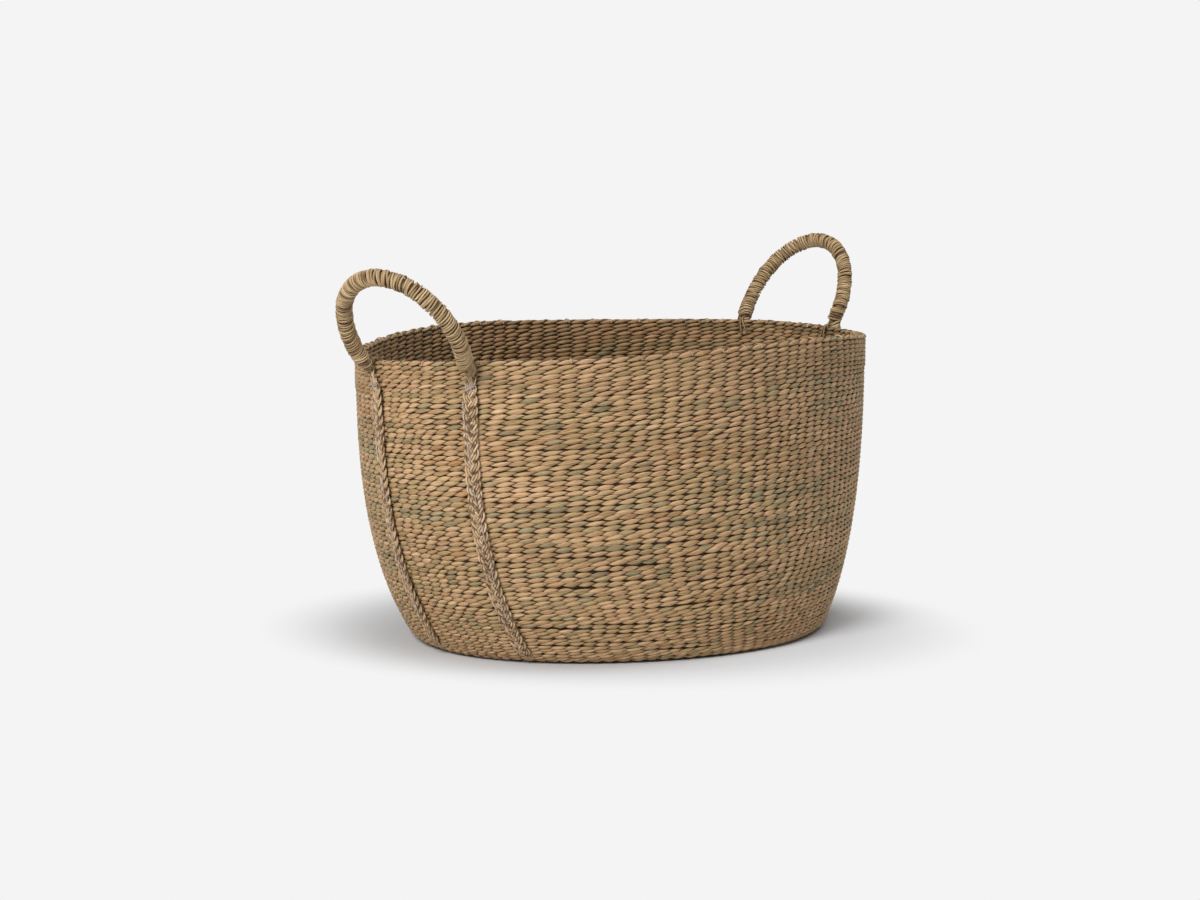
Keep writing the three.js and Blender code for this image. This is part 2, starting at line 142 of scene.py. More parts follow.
class WeaveSettings(PropertyGroup):
    """Twined rows of two strands round upright stakes."""

    stakes: count_value("Stakes", "Upright stakes round the wall", 104)
    wall_rows: count_value("Wall Rows", "Twined rows below the band", 58)
    band_rows: count_value("Band Rows", "Thicker rows under the rim", 7)
    low_pitch_share: share_value("Low Pitch", "Row height at the floor, of the full one", 0.64)
    wall_depth: length_value("Wall Depth", "How far a strand swings in and out", 1.2 * MM)
    wall_rise: length_value("Wall Rise", "How far a strand swings up and down", 0.88 * MM)
    wall_thickness: length_value("Strand Thickness", "Thickness of a wall strand", 2.5 * MM)
    band_depth: length_value("Band Depth", "How far a band strand swings in and out", 1.6 * MM)
    band_rise: length_value("Band Rise", "How far a band strand swings up and down", 1.0 * MM)
    band_thickness: length_value("Band Thickness", "Thickness of a band strand", 3.0 * MM)
    crossing_share: share_value("Crossing Width", "Width of a strand where two cross", 0.42)
    point: plain_value("Point", "Power of the taper towards a crossing", 1.3)
    stagger: length_value("Stagger", "How unevenly the crossings lie", 26 * MM)
    fullness: plain_value("Fullness", "Strand width in row heights", 1.17)
    wander: length_value("Wander", "How far a strand strays", 0.25 * MM)
    seed: count_value("Seed", "Seed of what is random", 7)


class BraidSettings(PropertyGroup):
    """Flat braids that carry the basket."""

    across_rim: FloatVectorProperty(
        name="Across Rim", size=4, default=(45.5 * MM, 38.5 * MM, 43 * MM, 43 * MM), unit="LENGTH",
        description="Distance of the straps from the middle at the rim: left front, left back, right front, "
                    "right back", precision=4,
    )
    width: length_value("Width", "Width of a braid", 12.5 * MM)
    period: length_value("Period", "Length in which a strand comes back to its place", 24 * MM)
    leaf_spacing: length_value("Leaf Spacing", "Distance between leaves side by side", 1.95 * MM)
    leaf_width: length_value("Leaf Width", "Width of one leaf", 1.75 * MM)
    leaf_thickness: length_value("Leaf Thickness", "Thickness of one leaf", 1.3 * MM)
    leaves: count_value("Leaves", "Leaves side by side in a strand", 3)


class HandleSettings(PropertyGroup):
    """Wound rope handles, which are bent a little differently."""

    rope: length_value("Rope", "Thickness of the wound rope", 13 * MM)
    foot: pair_value("Foot", "Where the arch leaves the wall, from the middle", 272.5 * MM, 269 * MM)
    start: pair_value("Start", "Height at which the arch starts to lean", 231 * MM, 240 * MM)
    rise: pair_value("Rise", "Length of the leaning arch", 91 * MM, 82.5 * MM)
    bulge: pair_value("Bulge", "How far the arch is wider than its feet, on each side", 5 * MM, 1 * MM)
    lean: pair_value("Lean", "Lean out of upright", math.radians(38), math.radians(32), "ROTATION")
    sway: pair_value("Sway", "Shift to one side, as a share of the rise", 0.09, -0.05, "NONE")
    pitch: length_value("Pitch", "Rope length that one turn of the winding takes", 6.0 * MM)
    leaves: count_value("Leaves", "Leaves side by side in a winding", 3)
    leaf_width: length_value("Leaf Width", "Width of a wound leaf", 1.85 * MM)
    leaf_thickness: length_value("Leaf Thickness", "Thickness of a wound leaf", 1.9 * MM)


class SewingSettings(PropertyGroup):
    """Threads over the braids and ties at the feet of the handles."""

    thread: length_value("Thread", "Thickness of the sewing thread", 0.6 * MM)
    stitch: length_value("Stitch", "Length of a stitch and the gap after it", 31 * MM)
    cross_reach: length_value("Cross Reach", "How far the crossed thread reaches to each side", 4.2 * MM)
    cross_drop: length_value("Cross Drop", "How far the crossed thread lies below the rim", 20 * MM)
    tie_width: length_value("Tie Width", "Width of a strand that ties a foot", 1.5 * MM)
    tie_drop: length_value("Tie Drop", "How far a tie reaches down inside the rim", 14 * MM)


class FinishColours(PropertyGroup):
    """Colours of the dried grass, the thread and the studio."""

    grass_shade: colour_value("Shaded Grass", "Darkest leaves", 160, 142, 108)
    grass_olive: colour_value("Olive Grass", "Leaves that stayed green", 176, 164, 128)
    grass_straw: colour_value("Straw", "Common leaves", 208, 177, 131)
    grass_rose: colour_value("Rose Grass", "Leaves with a pink cast", 228, 193, 152)
    grass_orange: colour_value("Orange Grass", "Sunburnt leaves", 200, 156, 106)
    thread: colour_value("Thread", "Sewing thread", 192, 182, 180)
    studio: colour_value("Studio", "Floor and background", 244, 244, 244)


class StudioSettings(PropertyGroup):
    """Camera and lights."""

    camera_place: FloatVectorProperty(
        name="Camera Place", description="Where the camera stands", default=(-2.014, -1.357, 0.410),
        subtype="XYZ", unit="LENGTH",
    )
    camera_aim: FloatVectorProperty(
        name="Camera Aim", description="Direction of the view", default=(0.8206, 0.5612, -0.1078),
        subtype="DIRECTION",
    )
    lens: plain_value("Lens", "Focal length in millimetres", 88.8)
    sky: plain_value("Sky", "Level of the light from all round", 0.27)
    top: plain_value("Top", "Power of the large lamp overhead", 40, unit="POWER")
    side: plain_value("Side", "Power of the lamp at the left", 96, unit="POWER")


# Trees of nodes


class Field:
    """A node's output that takes part in sums."""

    def __init__(self, tree, socket):
        self.tree = tree
        self.socket = socket

    def out(self, name):
        """Another output of the same node."""
        return Field(self.tree, self.socket.node.outputs[name])

    def is_vector(self):
        return self.socket.type == "VECTOR"

    def with_value(self, operation, other=None, swap=False):
        both = [self] if other is None else [self, other]
        if swap:
            both.reverse()
        are_vectors = [v.is_vector() if isinstance(v, Field) else isinstance(v, tuple) for v in both]
        if not any(are_vectors):
            return self.tree.put("ShaderNodeMath", *both, operation=operation)
        if all(are_vectors) or operation not in ("MULTIPLY", "DIVIDE"):
            return self.tree.put("ShaderNodeVectorMath", *both, operation=operation)
        if not are_vectors[0]:
            both.reverse()
        scale = both[1] if operation == "MULTIPLY" else 1 / both[1]
        return self.tree.put("ShaderNodeVectorMath", both[0], operation="SCALE", Scale=scale)


# Signs and words that take fields into sums, with the nodes' names for them
SUMS = {"add": "ADD", "sub": "SUBTRACT", "mul": "MULTIPLY", "truediv": "DIVIDE", "pow": "POWER",
        "mod": "FLOORED_MODULO"}
WORDS = {"sine": "SINE", "arcsine": "ARCSINE", "cosine": "COSINE", "arctangent": "ARCTANGENT",
         "floor": "FLOOR", "size": "ABSOLUTE", "cross": "CROSS_PRODUCT", "unit": "NORMALIZE",
         "greater": "MAXIMUM"}
for word, operation in SUMS.items():
    setattr(Field, f"__{word}__", partialmethod(Field.with_value, operation))
    setattr(Field, f"__r{word}__", partialmethod(Field.with_value, operation, swap=True))
for word, operation in WORDS.items():
    setattr(Field, word, partialmethod(Field.with_value, operation))


class Tree:
    """A tree of nodes, for a shape or for a material, that is built one node at a time."""

    def __init__(self, group):
        self.group = group

    def put(self, kind, *values, **named):
        """Adds a node. A named value sets the node's property or, if it has none, its input."""
        node = self.group.nodes.new(kind)
        inputs = {}
        for name, value in named.items():
            if hasattr(node, name):
                setattr(node, name, value)
            else:
                inputs[name.replace("_", " ")] = value
        free = [s for s in node.inputs if s.enabled]
        for socket, value in zip(free, values):
            self.feed(socket, value)
        for name, value in inputs.items():
            self.feed(next(s for s in free if s.name == name), value)
        outputs = [s for s in node.outputs if s.enabled]
        return Field(self, outputs[0]) if outputs else node

    def feed(self, socket, value):
        if isinstance(value, Field):
            self.group.links.new(value.socket, socket)
        else:
            socket.default_value = value

    def vector(self, x, y, z):
        return self.put("ShaderNodeCombineXYZ", x, y, z)

    def smooth(self, value, low, high):
        """Nought below the low value, one above the high value, smooth between."""
        return self.put(
            "ShaderNodeMapRange", value, interpolation_type="SMOOTHSTEP", From_Min=low, From_Max=high
        )


class ShapeTree(Tree):
    """A Geometry Nodes tree with named sizes, which starts from guide lines and ends in the material."""

    # Painted shade: light left on a woven strand's inner side, and at the edges of any other strand
    INNER_SHADE, EDGE_SHADE = 0.62, 0.15
    # Power by which a woven strand gets deeper as it narrows
    DEEPENING = -1.25

    def __init__(self, name, sizes, counts):
        super().__init__(bpy.data.node_groups.new(name, "GeometryNodeTree"))
        inputs = {"Geometry": ["Geometry"], "Float": sizes, "Int": counts, "Material": ["Material"]}
        for kind, names in inputs.items():
            for item in names:
                self.group.interface.new_socket(item, in_out="INPUT", socket_type=f"NodeSocket{kind}")
        self.group.interface.new_socket("Geometry", in_out="OUTPUT", socket_type="NodeSocketGeometry")
        self.entry = self.group.nodes.new("NodeGroupInput")
        self.lines = self.put("GeometryNodeMeshToCurve", self.given("Geometry"))
        self.place = self.put("GeometryNodeInputPosition")
        self.length = self.put("GeometryNodeSplineParameter").out("Length")

    def given(self, name):
        return Field(self, self.entry.outputs[name])

    def read(self, name, kind="FLOAT"):
        return self.put("GeometryNodeInputNamedAttribute", data_type=kind, Name=name)

    def direction(self, name):
        return self.read(name, "FLOAT_VECTOR")

    def store(self, geometry, name, value):
        kind = "FLOAT_VECTOR" if value.is_vector() else "FLOAT"
        return self.put("GeometryNodeStoreNamedAttribute", geometry, data_type=kind, domain="POINT",
                        Name=name, Value=value)

    def stepped(self, lines, step):
        return self.put("GeometryNodeResampleCurve", lines, mode="LENGTH", Length=step)

    def copies(self, lines, amount):
        """Copies of each line, and the number of each copy."""
        copied = self.put("GeometryNodeDuplicateElements", lines, domain="SPLINE", Amount=amount)
        return copied, copied.out("Duplicate Index")

    def noise(self, place, w):
        """Smooth random values, as a number about nought and as a vector about nought."""
        field = self.put("ShaderNodeTexNoise", noise_dimensions="4D", Vector=place, W=w, Scale=1.0,
                         Detail=1.0)
        return field - 0.5, field.out("Color") - (0.5, 0.5, 0.5)

    def sweep(self, curves, width, thickness, sides, fill, facing, tone, shade, along, level=None):
        """A flat strand along each curve, with the attributes that its finish reads.

        With a level, which is the strand's height over the middle of the weave, the strand gets deeper
        where it narrows, as if it were pressed together. Its painted shade then darkens where it passes
        through the middle of the weave, and is darker on the inner side. Without a level the painted shade
        darkens towards the strand's edges.
        """
        curves = self.put("GeometryNodeSetCurveNormal", curves, mode="FREE", Normal=facing)
        kept = {"tone": tone, "shade": shade, "along": along, "fill": fill}
        if level:
            kept.update(middle=self.place, facing=facing, level=level)
        for name, value in kept.items():
            curves = self.store(curves, name, value)
        ring = self.put("GeometryNodeCurvePrimitiveCircle", Resolution=sides, Radius=1.0)
        ring = self.put("GeometryNodeTransform", ring, Scale=self.vector(thickness * 0.5, width * 0.5, 1.0))
        ring = self.store(ring, "around", self.place)
        strands = self.put(
            "GeometryNodeCurveToMesh", curves, Profile_Curve=ring, Scale=self.read("fill"), Fill_Caps=True
        )
        around = self.direction("around") / MM
        if level:
            face = self.direction("facing")
            depth = (self.place - self.direction("middle")).with_value("DOT_PRODUCT", face).out("Value")
            deeper = self.read("fill") ** self.DEEPENING
            height = (self.read("level") + depth * deeper) / thickness
            # Painted shade: darker where the strand lies near the middle of the weave, and on the inner side
            inner = self.INNER_SHADE + (1 - self.INNER_SHADE) * self.smooth(height, -0.1, 0.1)
            strands = self.store(strands, "shade", inner * self.smooth(height.size(), 0.2, 0.6))
            strands = self.put("GeometryNodeSetPosition", strands, Offset=face * (depth * (deeper - 1.0)))
        else:
            # Painted shade: darker towards the strand's edges
            outer = self.put("ShaderNodeSeparateXYZ", around).size() * (2 * MM) / thickness
            lit = self.EDGE_SHADE + (1 - self.EDGE_SHADE) * self.smooth(outer, 0.1, 0.75)
            strands = self.store(strands, "shade", self.read("shade") * lit)
        grain = around + self.vector(0.0, 0.0, self.read("along") / MM)
        return self.put("GeometryNodeSetShadeSmooth", self.store(strands, "grain", grain))

    def close(self, geometry):
        solid = self.put("GeometryNodeRealizeInstances", geometry)
        painted = self.put("GeometryNodeSetMaterial", solid, Material=self.given("Material"))
        exit_node = self.group.nodes.new("NodeGroupOutput")
        self.feed(exit_node.inputs[0], painted)
        return self.group


# How far along its grain each strand starts after the one before it
GRAIN_STEP = 0.0173


def twined_rows_tree():
    """Turns each guide line into a pair of strands that twist round each other between the stakes."""
    sizes = ("Depth", "Rise", "Width", "Thickness", "Crossing", "Point", "Stagger", "Wander")
    tree = ShapeTree("Twined Rows", sizes, ("Stakes", "Sides", "Seed"))
    given, read, noise, place = tree.given, tree.read, tree.noise, tree.place
    pairs, ply = tree.copies(tree.lines, 2)
    stake, row, pitch_share = read("stake"), read("row"), read("pitch_share")
    outward, upward = tree.direction("outward"), tree.direction("upward")
    strand = row * 2.0 + ply + given("Seed") * 131.0

    # The crossings' shift along the row, which changes slowly from row to row
    slow, _ = noise(place * (12.0, 12.0, 30.0), 7.0)
    slip, _ = noise(place * 14.0, row * 2.3)
    shift = (slow * 0.55 + slip * 0.75) * given("Stagger")

    phase = (stake + ply) * math.pi
    swing = phase.cosine()
    full = swing.size()
    lift = phase.sine().arcsine() * (2 / math.pi)
    depth = given("Depth") * (swing / (full + 0.02) ** 0.2)
    body, stray = noise(place * 120.0, strand * 5.3)
    float_number = (stake + 0.501).floor() % (given("Stakes") * 1.0)
    chance = tree.put(
        "FunctionNodeRandomValue", data_type="FLOAT_VECTOR", Min=(-1.0, -1.0, -1.0), Max=(1.0, 1.0, 1.0),
        ID=float_number + strand * 211.0, Seed=given("Seed"),
    )
    parts = tree.put("ShaderNodeSeparateXYZ", chance)
    height_chance, width_chance, tone_chance = parts.out("X"), parts.out("Y"), parts.out("Z")
    rise = given("Rise") * lift * pitch_share + full * height_chance * given("Wander") * pitch_share
    offset = outward * depth + upward * rise + outward.cross(upward) * shift + stray * (given("Wander") * 1.2)

    crossing = given("Crossing") * (1.0 - 0.5 * read("open"))
    lens = crossing + (1.0 - crossing) * full ** given("Point")
    plump, _ = noise(place * 8.0, strand * 4.7)
    fill = lens * (1.0 + body * 0.4 + width_chance * 0.14 + plump * 0.28) * pitch_share
    drift, _ = noise(place * 11.0, strand * 9.1)
    patch, _ = noise(place * (14.0, 14.0, 34.0), 5.0)
    tone = 0.5 + drift * 1.15 + patch * 0.5 + tone_chance * 0.12
    pairs = tree.put("GeometryNodeSetPosition", pairs, Offset=offset)
    return tree.close(tree.sweep(
        pairs, given("Width"), given("Thickness"), given("Sides"), fill, outward,
        tone, full, tree.length + strand * GRAIN_STEP, depth,
    ))


def flat_braid_tree():
    """Braids three strands of side by side leaves along each guide line."""
    sizes = ("Step", "Period", "Sweep", "Depth", "Leaf_Spacing", "Leaf_Width", "Leaf_Thickness")
    tree = ShapeTree("Flat Braid", sizes, ("Leaves", "Seed"))
    given, read, noise, place = tree.given, tree.read, tree.noise, tree.place
    plies, ply = tree.copies(tree.stepped(tree.lines, given("Step")), 3)
    leaves, leaf = tree.copies(tree.store(plies, "ply", ply), given("Leaves"))
    leaf = leaf - (given("Leaves") - 1.0) * 0.5
    ply, girth = read("ply"), read("girth")
    outward, sideways = tree.direction("outward"), tree.direction("sideways")
    strand = ply * 7.0 + leaf + given("Seed") * 31.0

    # Each strand runs from edge to edge in nearly straight lines, with rounded turns
    sharpness, straight = 0.94, 0.818
    sway, _ = noise(place * 25.0, ply * 3.1 + given("Seed") * 1.0)
    phase = (tree.length / given("Period") + ply / 3.0 + sway * 0.05) * FULL_TURN
    swing = given("Sweep") * girth
    near_peak = phase.sine() * sharpness
    across = near_peak.arcsine() * swing * straight
    slope = phase.cosine() / (1.0 - near_peak * near_peak) ** 0.5 * sharpness * straight
    slope = slope * swing * FULL_TURN / given("Period")
    turn = slope.arctangent()
    apart = leaf * given("Leaf_Spacing") * girth
    forward = tree.put("GeometryNodeInputTangent")
    depth = (phase * 2.0).sine() * given("Depth")
    body, stray = noise(place * 120.0, strand * 5.3)
    offset = sideways * (across + turn.cosine() * apart) - forward * (turn.sine() * apart)
    offset = offset + outward * (depth + body * 0.0006) + stray * 0.0004
    drift, _ = noise(place * 40.0, strand * 9.1)
    leaves = tree.put("GeometryNodeSetPosition", leaves, Offset=offset)
    # The shade passed on is painted shade: the leaves darken where they pass under the other strands
    return tree.close(tree.sweep(
        leaves, given("Leaf_Width"), given("Leaf_Thickness"), 8, (1.0 + body * 0.4) * girth, outward,
        0.5 + drift * 1.1, tree.smooth(depth, -0.0012, 0.0001), tree.length + strand * GRAIN_STEP,
    ))


def wound_rope_tree():
    """Winds leaves round each guide line in one run from end to end."""
    tree = ShapeTree("Wound Rope", ("Pitch", "Leaf_Width", "Leaf_Thickness"), ("Steps", "Leaves", "Seed"))
    given, read = tree.given, tree.read
    leaves, leaf = tree.copies(tree.stepped(tree.lines, given("Pitch") / given("Steps")), given("Leaves"))
    leaves = tree.store(leaves, "leaf", leaf)
    leaf, girth = read("leaf"), read("girth")
    turns = tree.length / given("Pitch")
    seed = given("Seed") * 17.0

    def change(turns, pace, place, own=leaf * 3.0):
        """A value that changes smoothly along the winding, for each leaf in its own way."""
        return tree.noise(tree.vector(turns * pace, place, own), seed)[0]

    forward = tree.put("GeometryNodeInputTangent")
    across = forward.cross(tree.direction("outward")).unit()
    front = across.cross(forward).unit()
    angle = turns * FULL_TURN
    radial = (front * angle.cosine() + across * angle.sine()).unit()
    tilt = change(turns, 0.13, 0.0, 0.0) * 1.7 + change(turns, 0.7, 2.0) * 1.1 + read("tilt")
    twist = change(turns, 0.1, 4.0, 0.0)
    lean = (angle + twist * 9.0).cosine() * girth * tilt
    pace, bends = change(turns, 1.2, 8.0), change(turns, 3.2, 36.0)
    apart = (leaf - (given("Leaves") - 1.0) * 0.5) / given("Leaves")
    shift = forward * (lean + (apart * 0.98 + pace * 0.3 + bends * 0.26) * given("Pitch"))
    swell, lumps = change(turns, 1.3, 12.0), change(turns, 4.0, 16.0)
    depth = girth - given("Leaf_Thickness") * 0.5 + swell * 0.0022 + lumps * 0.0020
    for name, value in (("radial", radial), ("along_rope", forward), ("turns", turns)):
        leaves = tree.store(leaves, name, value)
    leaves = tree.put("GeometryNodeSetPosition", leaves, Position=tree.place + radial * depth + shift)

    # What is read after the leaves have moved
    turns = read("turns")
    twisted = change(turns, 2.1, 32.0) * 5.0
    leaf_front = (tree.direction("radial") + tree.direction("along_rope") * twisted).unit()
    fill = 1.0 + change(turns, 2.6, 28.0) * 0.9
    tone = 0.5 + change(turns, 0.35, 20.0) * 1.2 + change(turns, 1.9, 24.0) * 1.3
    # Painted shade on the leaves that the swell sinks lower in the winding
    shade = tree.smooth(change(turns, 1.3, 12.0), -0.2, 0.02)
    return tree.close(tree.sweep(
        leaves, given("Leaf_Width"), given("Leaf_Thickness"), 8, fill, leaf_front, tone, shade,
        tree.length + leaf * 0.031,
    ))


def plain_strand_tree():
    """Gives each guide line the thickness of one leaf or thread."""
    tree = ShapeTree("Plain Strand", ("Width", "Thickness"), ("Sides", "Seed"))
    given, girth = tree.given, tree.read("girth")
    row = tree.read("row") + given("Seed") * 1.0
    body, _ = tree.noise(tree.place * 90.0, row * 5.3)
    drift, _ = tree.noise(tree.place * 12.0, row * 9.1)
    return tree.close(tree.sweep(
        tree.lines, given("Width"), given("Thickness"), given("Sides"), girth * (1.0 + body * 0.3),
        tree.direction("outward"), 0.5 + drift * 1.6, girth * 0.0 + 1.0, tree.length + row * GRAIN_STEP,
    ))


# Guide lines and what grows on them

KEPT_ATTRIBUTES = ("position", "tone", "shade", "grain", "material_index", "sharp_face", "sharp_edge")
WOVEN = {"twined": twined_rows_tree, "braid": flat_braid_tree, "wound": wound_rope_tree,
         "strand": plain_strand_tree}


def shape_group(name):
    """The tree of one kind of work, built when it is first asked for."""
    label = WOVEN[name].__name__
    group = bpy.data.node_groups.get(label)
    if group is None:
        group = WOVEN[name]()
        group.name = label
    return group


def point_values(value, points):
    """A line's value at each of its points. One that is the same all along is repeated."""
    is_vector = np.ndim(value) == 2 or np.size(value) == 3
    return np.broadcast_to(value, points.shape if is_vector else (len(points),))


def guide_object(name, lines, closed):
    """An object with one line of points for each guide line, and their values as attributes."""
    mesh = bpy.data.meshes.new(name)
    counts = [len(line["points"]) for line in lines]
    edges = []
    for start, count in zip(np.cumsum([0] + counts[:-1]), counts):
        here = np.arange(start, start + count)
        pairs = np.stack([here, np.roll(here, -1)], 1)
        edges.append(pairs if closed else pairs[:-1])
    edges = np.concatenate(edges)
    mesh.vertices.add(sum(counts))
    mesh.vertices.foreach_set("co", np.concatenate([line["points"] for line in lines]).ravel())
    mesh.edges.add(len(edges))
    mesh.edges.foreach_set("vertices", edges.ravel())
    for key in [key for key in lines[0] if key != "points"]:
        values = np.concatenate([point_values(line[key], line["points"]) for line in lines]).astype(float)
        is_vector = values.ndim == 2
        attribute = mesh.attributes.new(key, "FLOAT_VECTOR" if is_vector else "FLOAT", "POINT")
        attribute.data.foreach_set("vector" if is_vector else "value", values.ravel())
    mesh.update()
    guide = bpy.data.objects.new(name, mesh)
    bpy.context.scene.collection.objects.link(guide)
    return guide


def grow(name, kind, lines, finish, closed=False, **sizes):
    """Runs a tree on guide lines and keeps the result as a plain mesh."""
    piece = guide_object(name, lines, closed)
    group = shape_group(kind)
    modifier = piece.modifiers.new(name, "NODES")
    modifier.node_group = group
    inputs = {item.name: item.identifier for item in group.interface.items_tree if item.in_out == "INPUT"}
    for size, value in {**sizes, "Material": finish_material(finish)}.items():
        modifier[inputs[size]] = value
    graph = bpy.context.evaluated_depsgraph_get()
    mesh = bpy.data.meshes.new_from_object(piece.evaluated_get(graph))
    piece.modifiers.clear()
    line_mesh = piece.data
    piece.data = mesh
    mesh.name = name
    bpy.data.meshes.remove(line_mesh)
    for extra in [a.name for a in mesh.attributes if a.name not in KEPT_ATTRIBUTES and not a.is_internal]:
        mesh.attributes.remove(mesh.attributes[extra])
    return piece


def seat(piece, slot, *nodes):
    """Fixes a finished piece to the basket and hides what it stands for."""
    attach(piece, "basket")
    if nodes:
        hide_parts(*nodes)


# Lines on the woven surface

# Depth of the middle of the weave under the wall's outer surface, and height of the base's middle
WEAVE_MIDDLE = -3 * MM
BASE_MIDDLE = 4.3 * MM
# Places along a row, in stakes from the middle of a float, that a strand is drawn through
FLOAT_PLACES = np.array([-0.5, -0.39, -0.24, 0.0, 0.24, 0.39])
# How much wider apart the stakes are at the ends
STAKE_SPREAD = 0.035
# Where the crossings are looser: the turn at the middle of that place, and how fast it fades
OPEN_TURN, OPEN_FADE = math.radians(-50), (0.84, 0.97)
# Number of the first line of each kind, on which its random values depend
FIRST_NUMBER = {"wall": 0, "band": 100, "border": 120, "base": 200, "stake": 300, "rope": 400, "tie": 500,
                "cross": 520, "stitch": 530, "stake_end": 600}
SEEDS = {"stake": 3, "braid": 4, "rope": 5, "tie": 6, "cross": 7, "stitch": 8, "stake_end": 9, "winding": 12}


def smooth_share(value, low, high):
    share = np.clip((value - low) / (high - low), 0, 1)
    return share * share * (3 - 2 * share)


def signed_power(value, power):
    return np.sign(value) * np.abs(value) ** power


def unit_rows(vectors):
    return vectors / np.linalg.norm(vectors, axis=-1, keepdims=True)


def wall_outline(height):
    """Half length, half width and power of the wall's outer outline at a height."""
    shape = bpy.context.scene.basket_shape
    share = np.clip(height / shape.wall_height, 0, 1)
    below = np.clip(shape.edge_radius - height, 0, shape.edge_radius)
    inset = shape.edge_radius - np.sqrt(shape.edge_radius**2 - below**2)
    end_rise = (1 - share) ** shape.end_flare
    side_rise = (1 - share) ** shape.side_flare
    half_length = shape.rim_length / 2 - (shape.rim_length - shape.floor_length) / 2 * end_rise - inset
    half_width = shape.rim_width / 2 - (shape.rim_width - shape.floor_width) / 2 * side_rise - inset
    return half_length, half_width, shape.floor_power + (shape.rim_power - shape.floor_power) * share


def oval_point(turn, half_length, half_width, power, height):
    x = half_length * signed_power(np.cos(turn), 2 / power)
    y = half_width * signed_power(np.sin(turn), 2 / power)
    return np.stack([x, y, np.broadcast_to(height, np.shape(x))], -1)


def oval_outward(turn, half_length, half_width, power):
    slope = 2 - 2 / power
    x = signed_power(np.cos(turn), slope) / half_length
    y = signed_power(np.sin(turn), slope) / half_width
    return unit_rows(np.stack([x, y, np.zeros_like(x)], -1))


def rim_wave(turn):
    """How far the real rim rises or dips, as a share of the height."""
    return (0.006 * np.cos(4 * turn) - 0.015 * np.cos(2 * turn)
            + 0.007 * np.sin(2 * turn) + 0.003 * np.sin(4 * turn))


def wall_surface(turn, height, out=0.0):
    """Points of the wall, with the directions out of it, up along it and sideways."""
    turn = np.asarray(turn, float)
    height = np.broadcast_to(np.asarray(height, float), turn.shape)
    step = 0.5 * MM
    outline = wall_outline(height)
    point = oval_point(turn, *outline, height)
    above = oval_point(turn, *wall_outline(height + step), height + step)
    upward = unit_rows(above - point)
    flat = oval_outward(turn, *outline)
    sideways = np.stack([-flat[..., 1], flat[..., 0], np.zeros_like(turn)], -1)
    outward = unit_rows(np.cross(sideways, upward))
    share = height / bpy.context.scene.basket_shape.wall_height
    point = point + outward * np.asarray(out)[..., None]
    point[..., 2] += height * rim_wave(turn) * share
    return point, outward, upward, sideways


def stake_turn(place, stakes):
    """The turn of a place that is counted in stakes, which are a little wider apart at the ends."""
    even = np.asarray(place) * (FULL_TURN / stakes)
    return even + STAKE_SPREAD * np.sin(2 * even)


def ring_places(stakes):
    """Places along a row of a number of stakes, counted in stakes."""
    return (np.arange(stakes)[:, None] + FLOAT_PLACES).ravel()


def ring_line(height, kind, row=0):
    """The guide line of a row round the wall."""
    stakes = bpy.context.scene.weave_settings.stakes
    place = ring_places(stakes)
    turn = stake_turn(place, stakes)
    point, outward, upward, _ = wall_surface(turn, height, WEAVE_MIDDLE)
    return {"points": point, "outward": outward, "upward": upward, "stake": place,
            "row": float(FIRST_NUMBER[kind] + row), "pitch_share": 1.0,
            "open": smooth_share(np.cos(turn - OPEN_TURN), *OPEN_FADE)}


def even_points(points, step=0.5 * MM):
    """The same line with points an even step apart."""
    lengths = np.concatenate([[0], np.cumsum(np.linalg.norm(np.diff(points, axis=0), axis=1))])
    places = np.linspace(0, lengths[-1], int(lengths[-1] / step) + 1)
    return np.stack([np.interp(places, lengths, points[:, k]) for k in range(3)], 1)


def eased(points, reach):
    """The same even line with its corners rounded over a number of points."""
    weights = np.hanning(2 * reach + 3)[1:-1]
    weights /= weights.sum()
    padded = np.concatenate([np.repeat(points[:1], reach, 0), points, np.repeat(points[-1:], reach, 0)])
    return np.stack([np.convolve(padded[:, k], weights, "valid") for k in range(3)], 1)


def facing(points, sideways):
    """The direction out of a flat strip that runs along the points."""
    along = unit_rows(np.gradient(points, axis=0))
    return unit_rows(np.cross(along, sideways))


def strand_line(points, outward, kind, number=0, girth=1.0):
    """The guide line of one strand. A direction that is given once holds all along it."""
    return {"points": points, "outward": outward, "row": float(FIRST_NUMBER[kind] + number), "girth": girth}


# Finishes


class MaterialTree(Tree):
    """The nodes of a material."""

    def __init__(self, name):
        self.material = bpy.data.materials.new(name)
        self.material.use_nodes = True
        super().__init__(self.material.node_tree)
        self.group.nodes.clear()

    def read(self, name, output="Fac"):
        return self.put("ShaderNodeAttribute", attribute_name=name).out(output)

    def noise(self, place, detail):
        return self.put("ShaderNodeTexNoise", noise_dimensions="3D", Vector=place, Scale=1.0, Detail=detail)

    def mix(self, share, first, second, blend="MIX"):
        node = self.group.nodes.new("ShaderNodeMix")
        node.data_type = "RGBA"
        node.blend_type = blend
        for socket, value in zip((0, 6, 7), (share, first, second)):
            self.feed(node.inputs[socket], value)
        return Field(self, node.outputs[2])

    def ramp(self, value, stops):
        node = self.group.nodes.new("ShaderNodeValToRGB")
        ramp = node.color_ramp
        while len(ramp.elements) < len(stops):
            ramp.elements.new(0.5)
        for element, (place, colour) in zip(ramp.elements, stops):
            element.position = place
            element.color = (*colour, 1)
        self.feed(node.inputs[0], value)
        return Field(self, node.outputs[0])

    def close(self, **surface):
        """Ends the tree in one surface shader, whose inputs are given by name."""
        self.put("ShaderNodeOutputMaterial", self.put("ShaderNodeBsdfPrincipled", **surface))
        return self.material


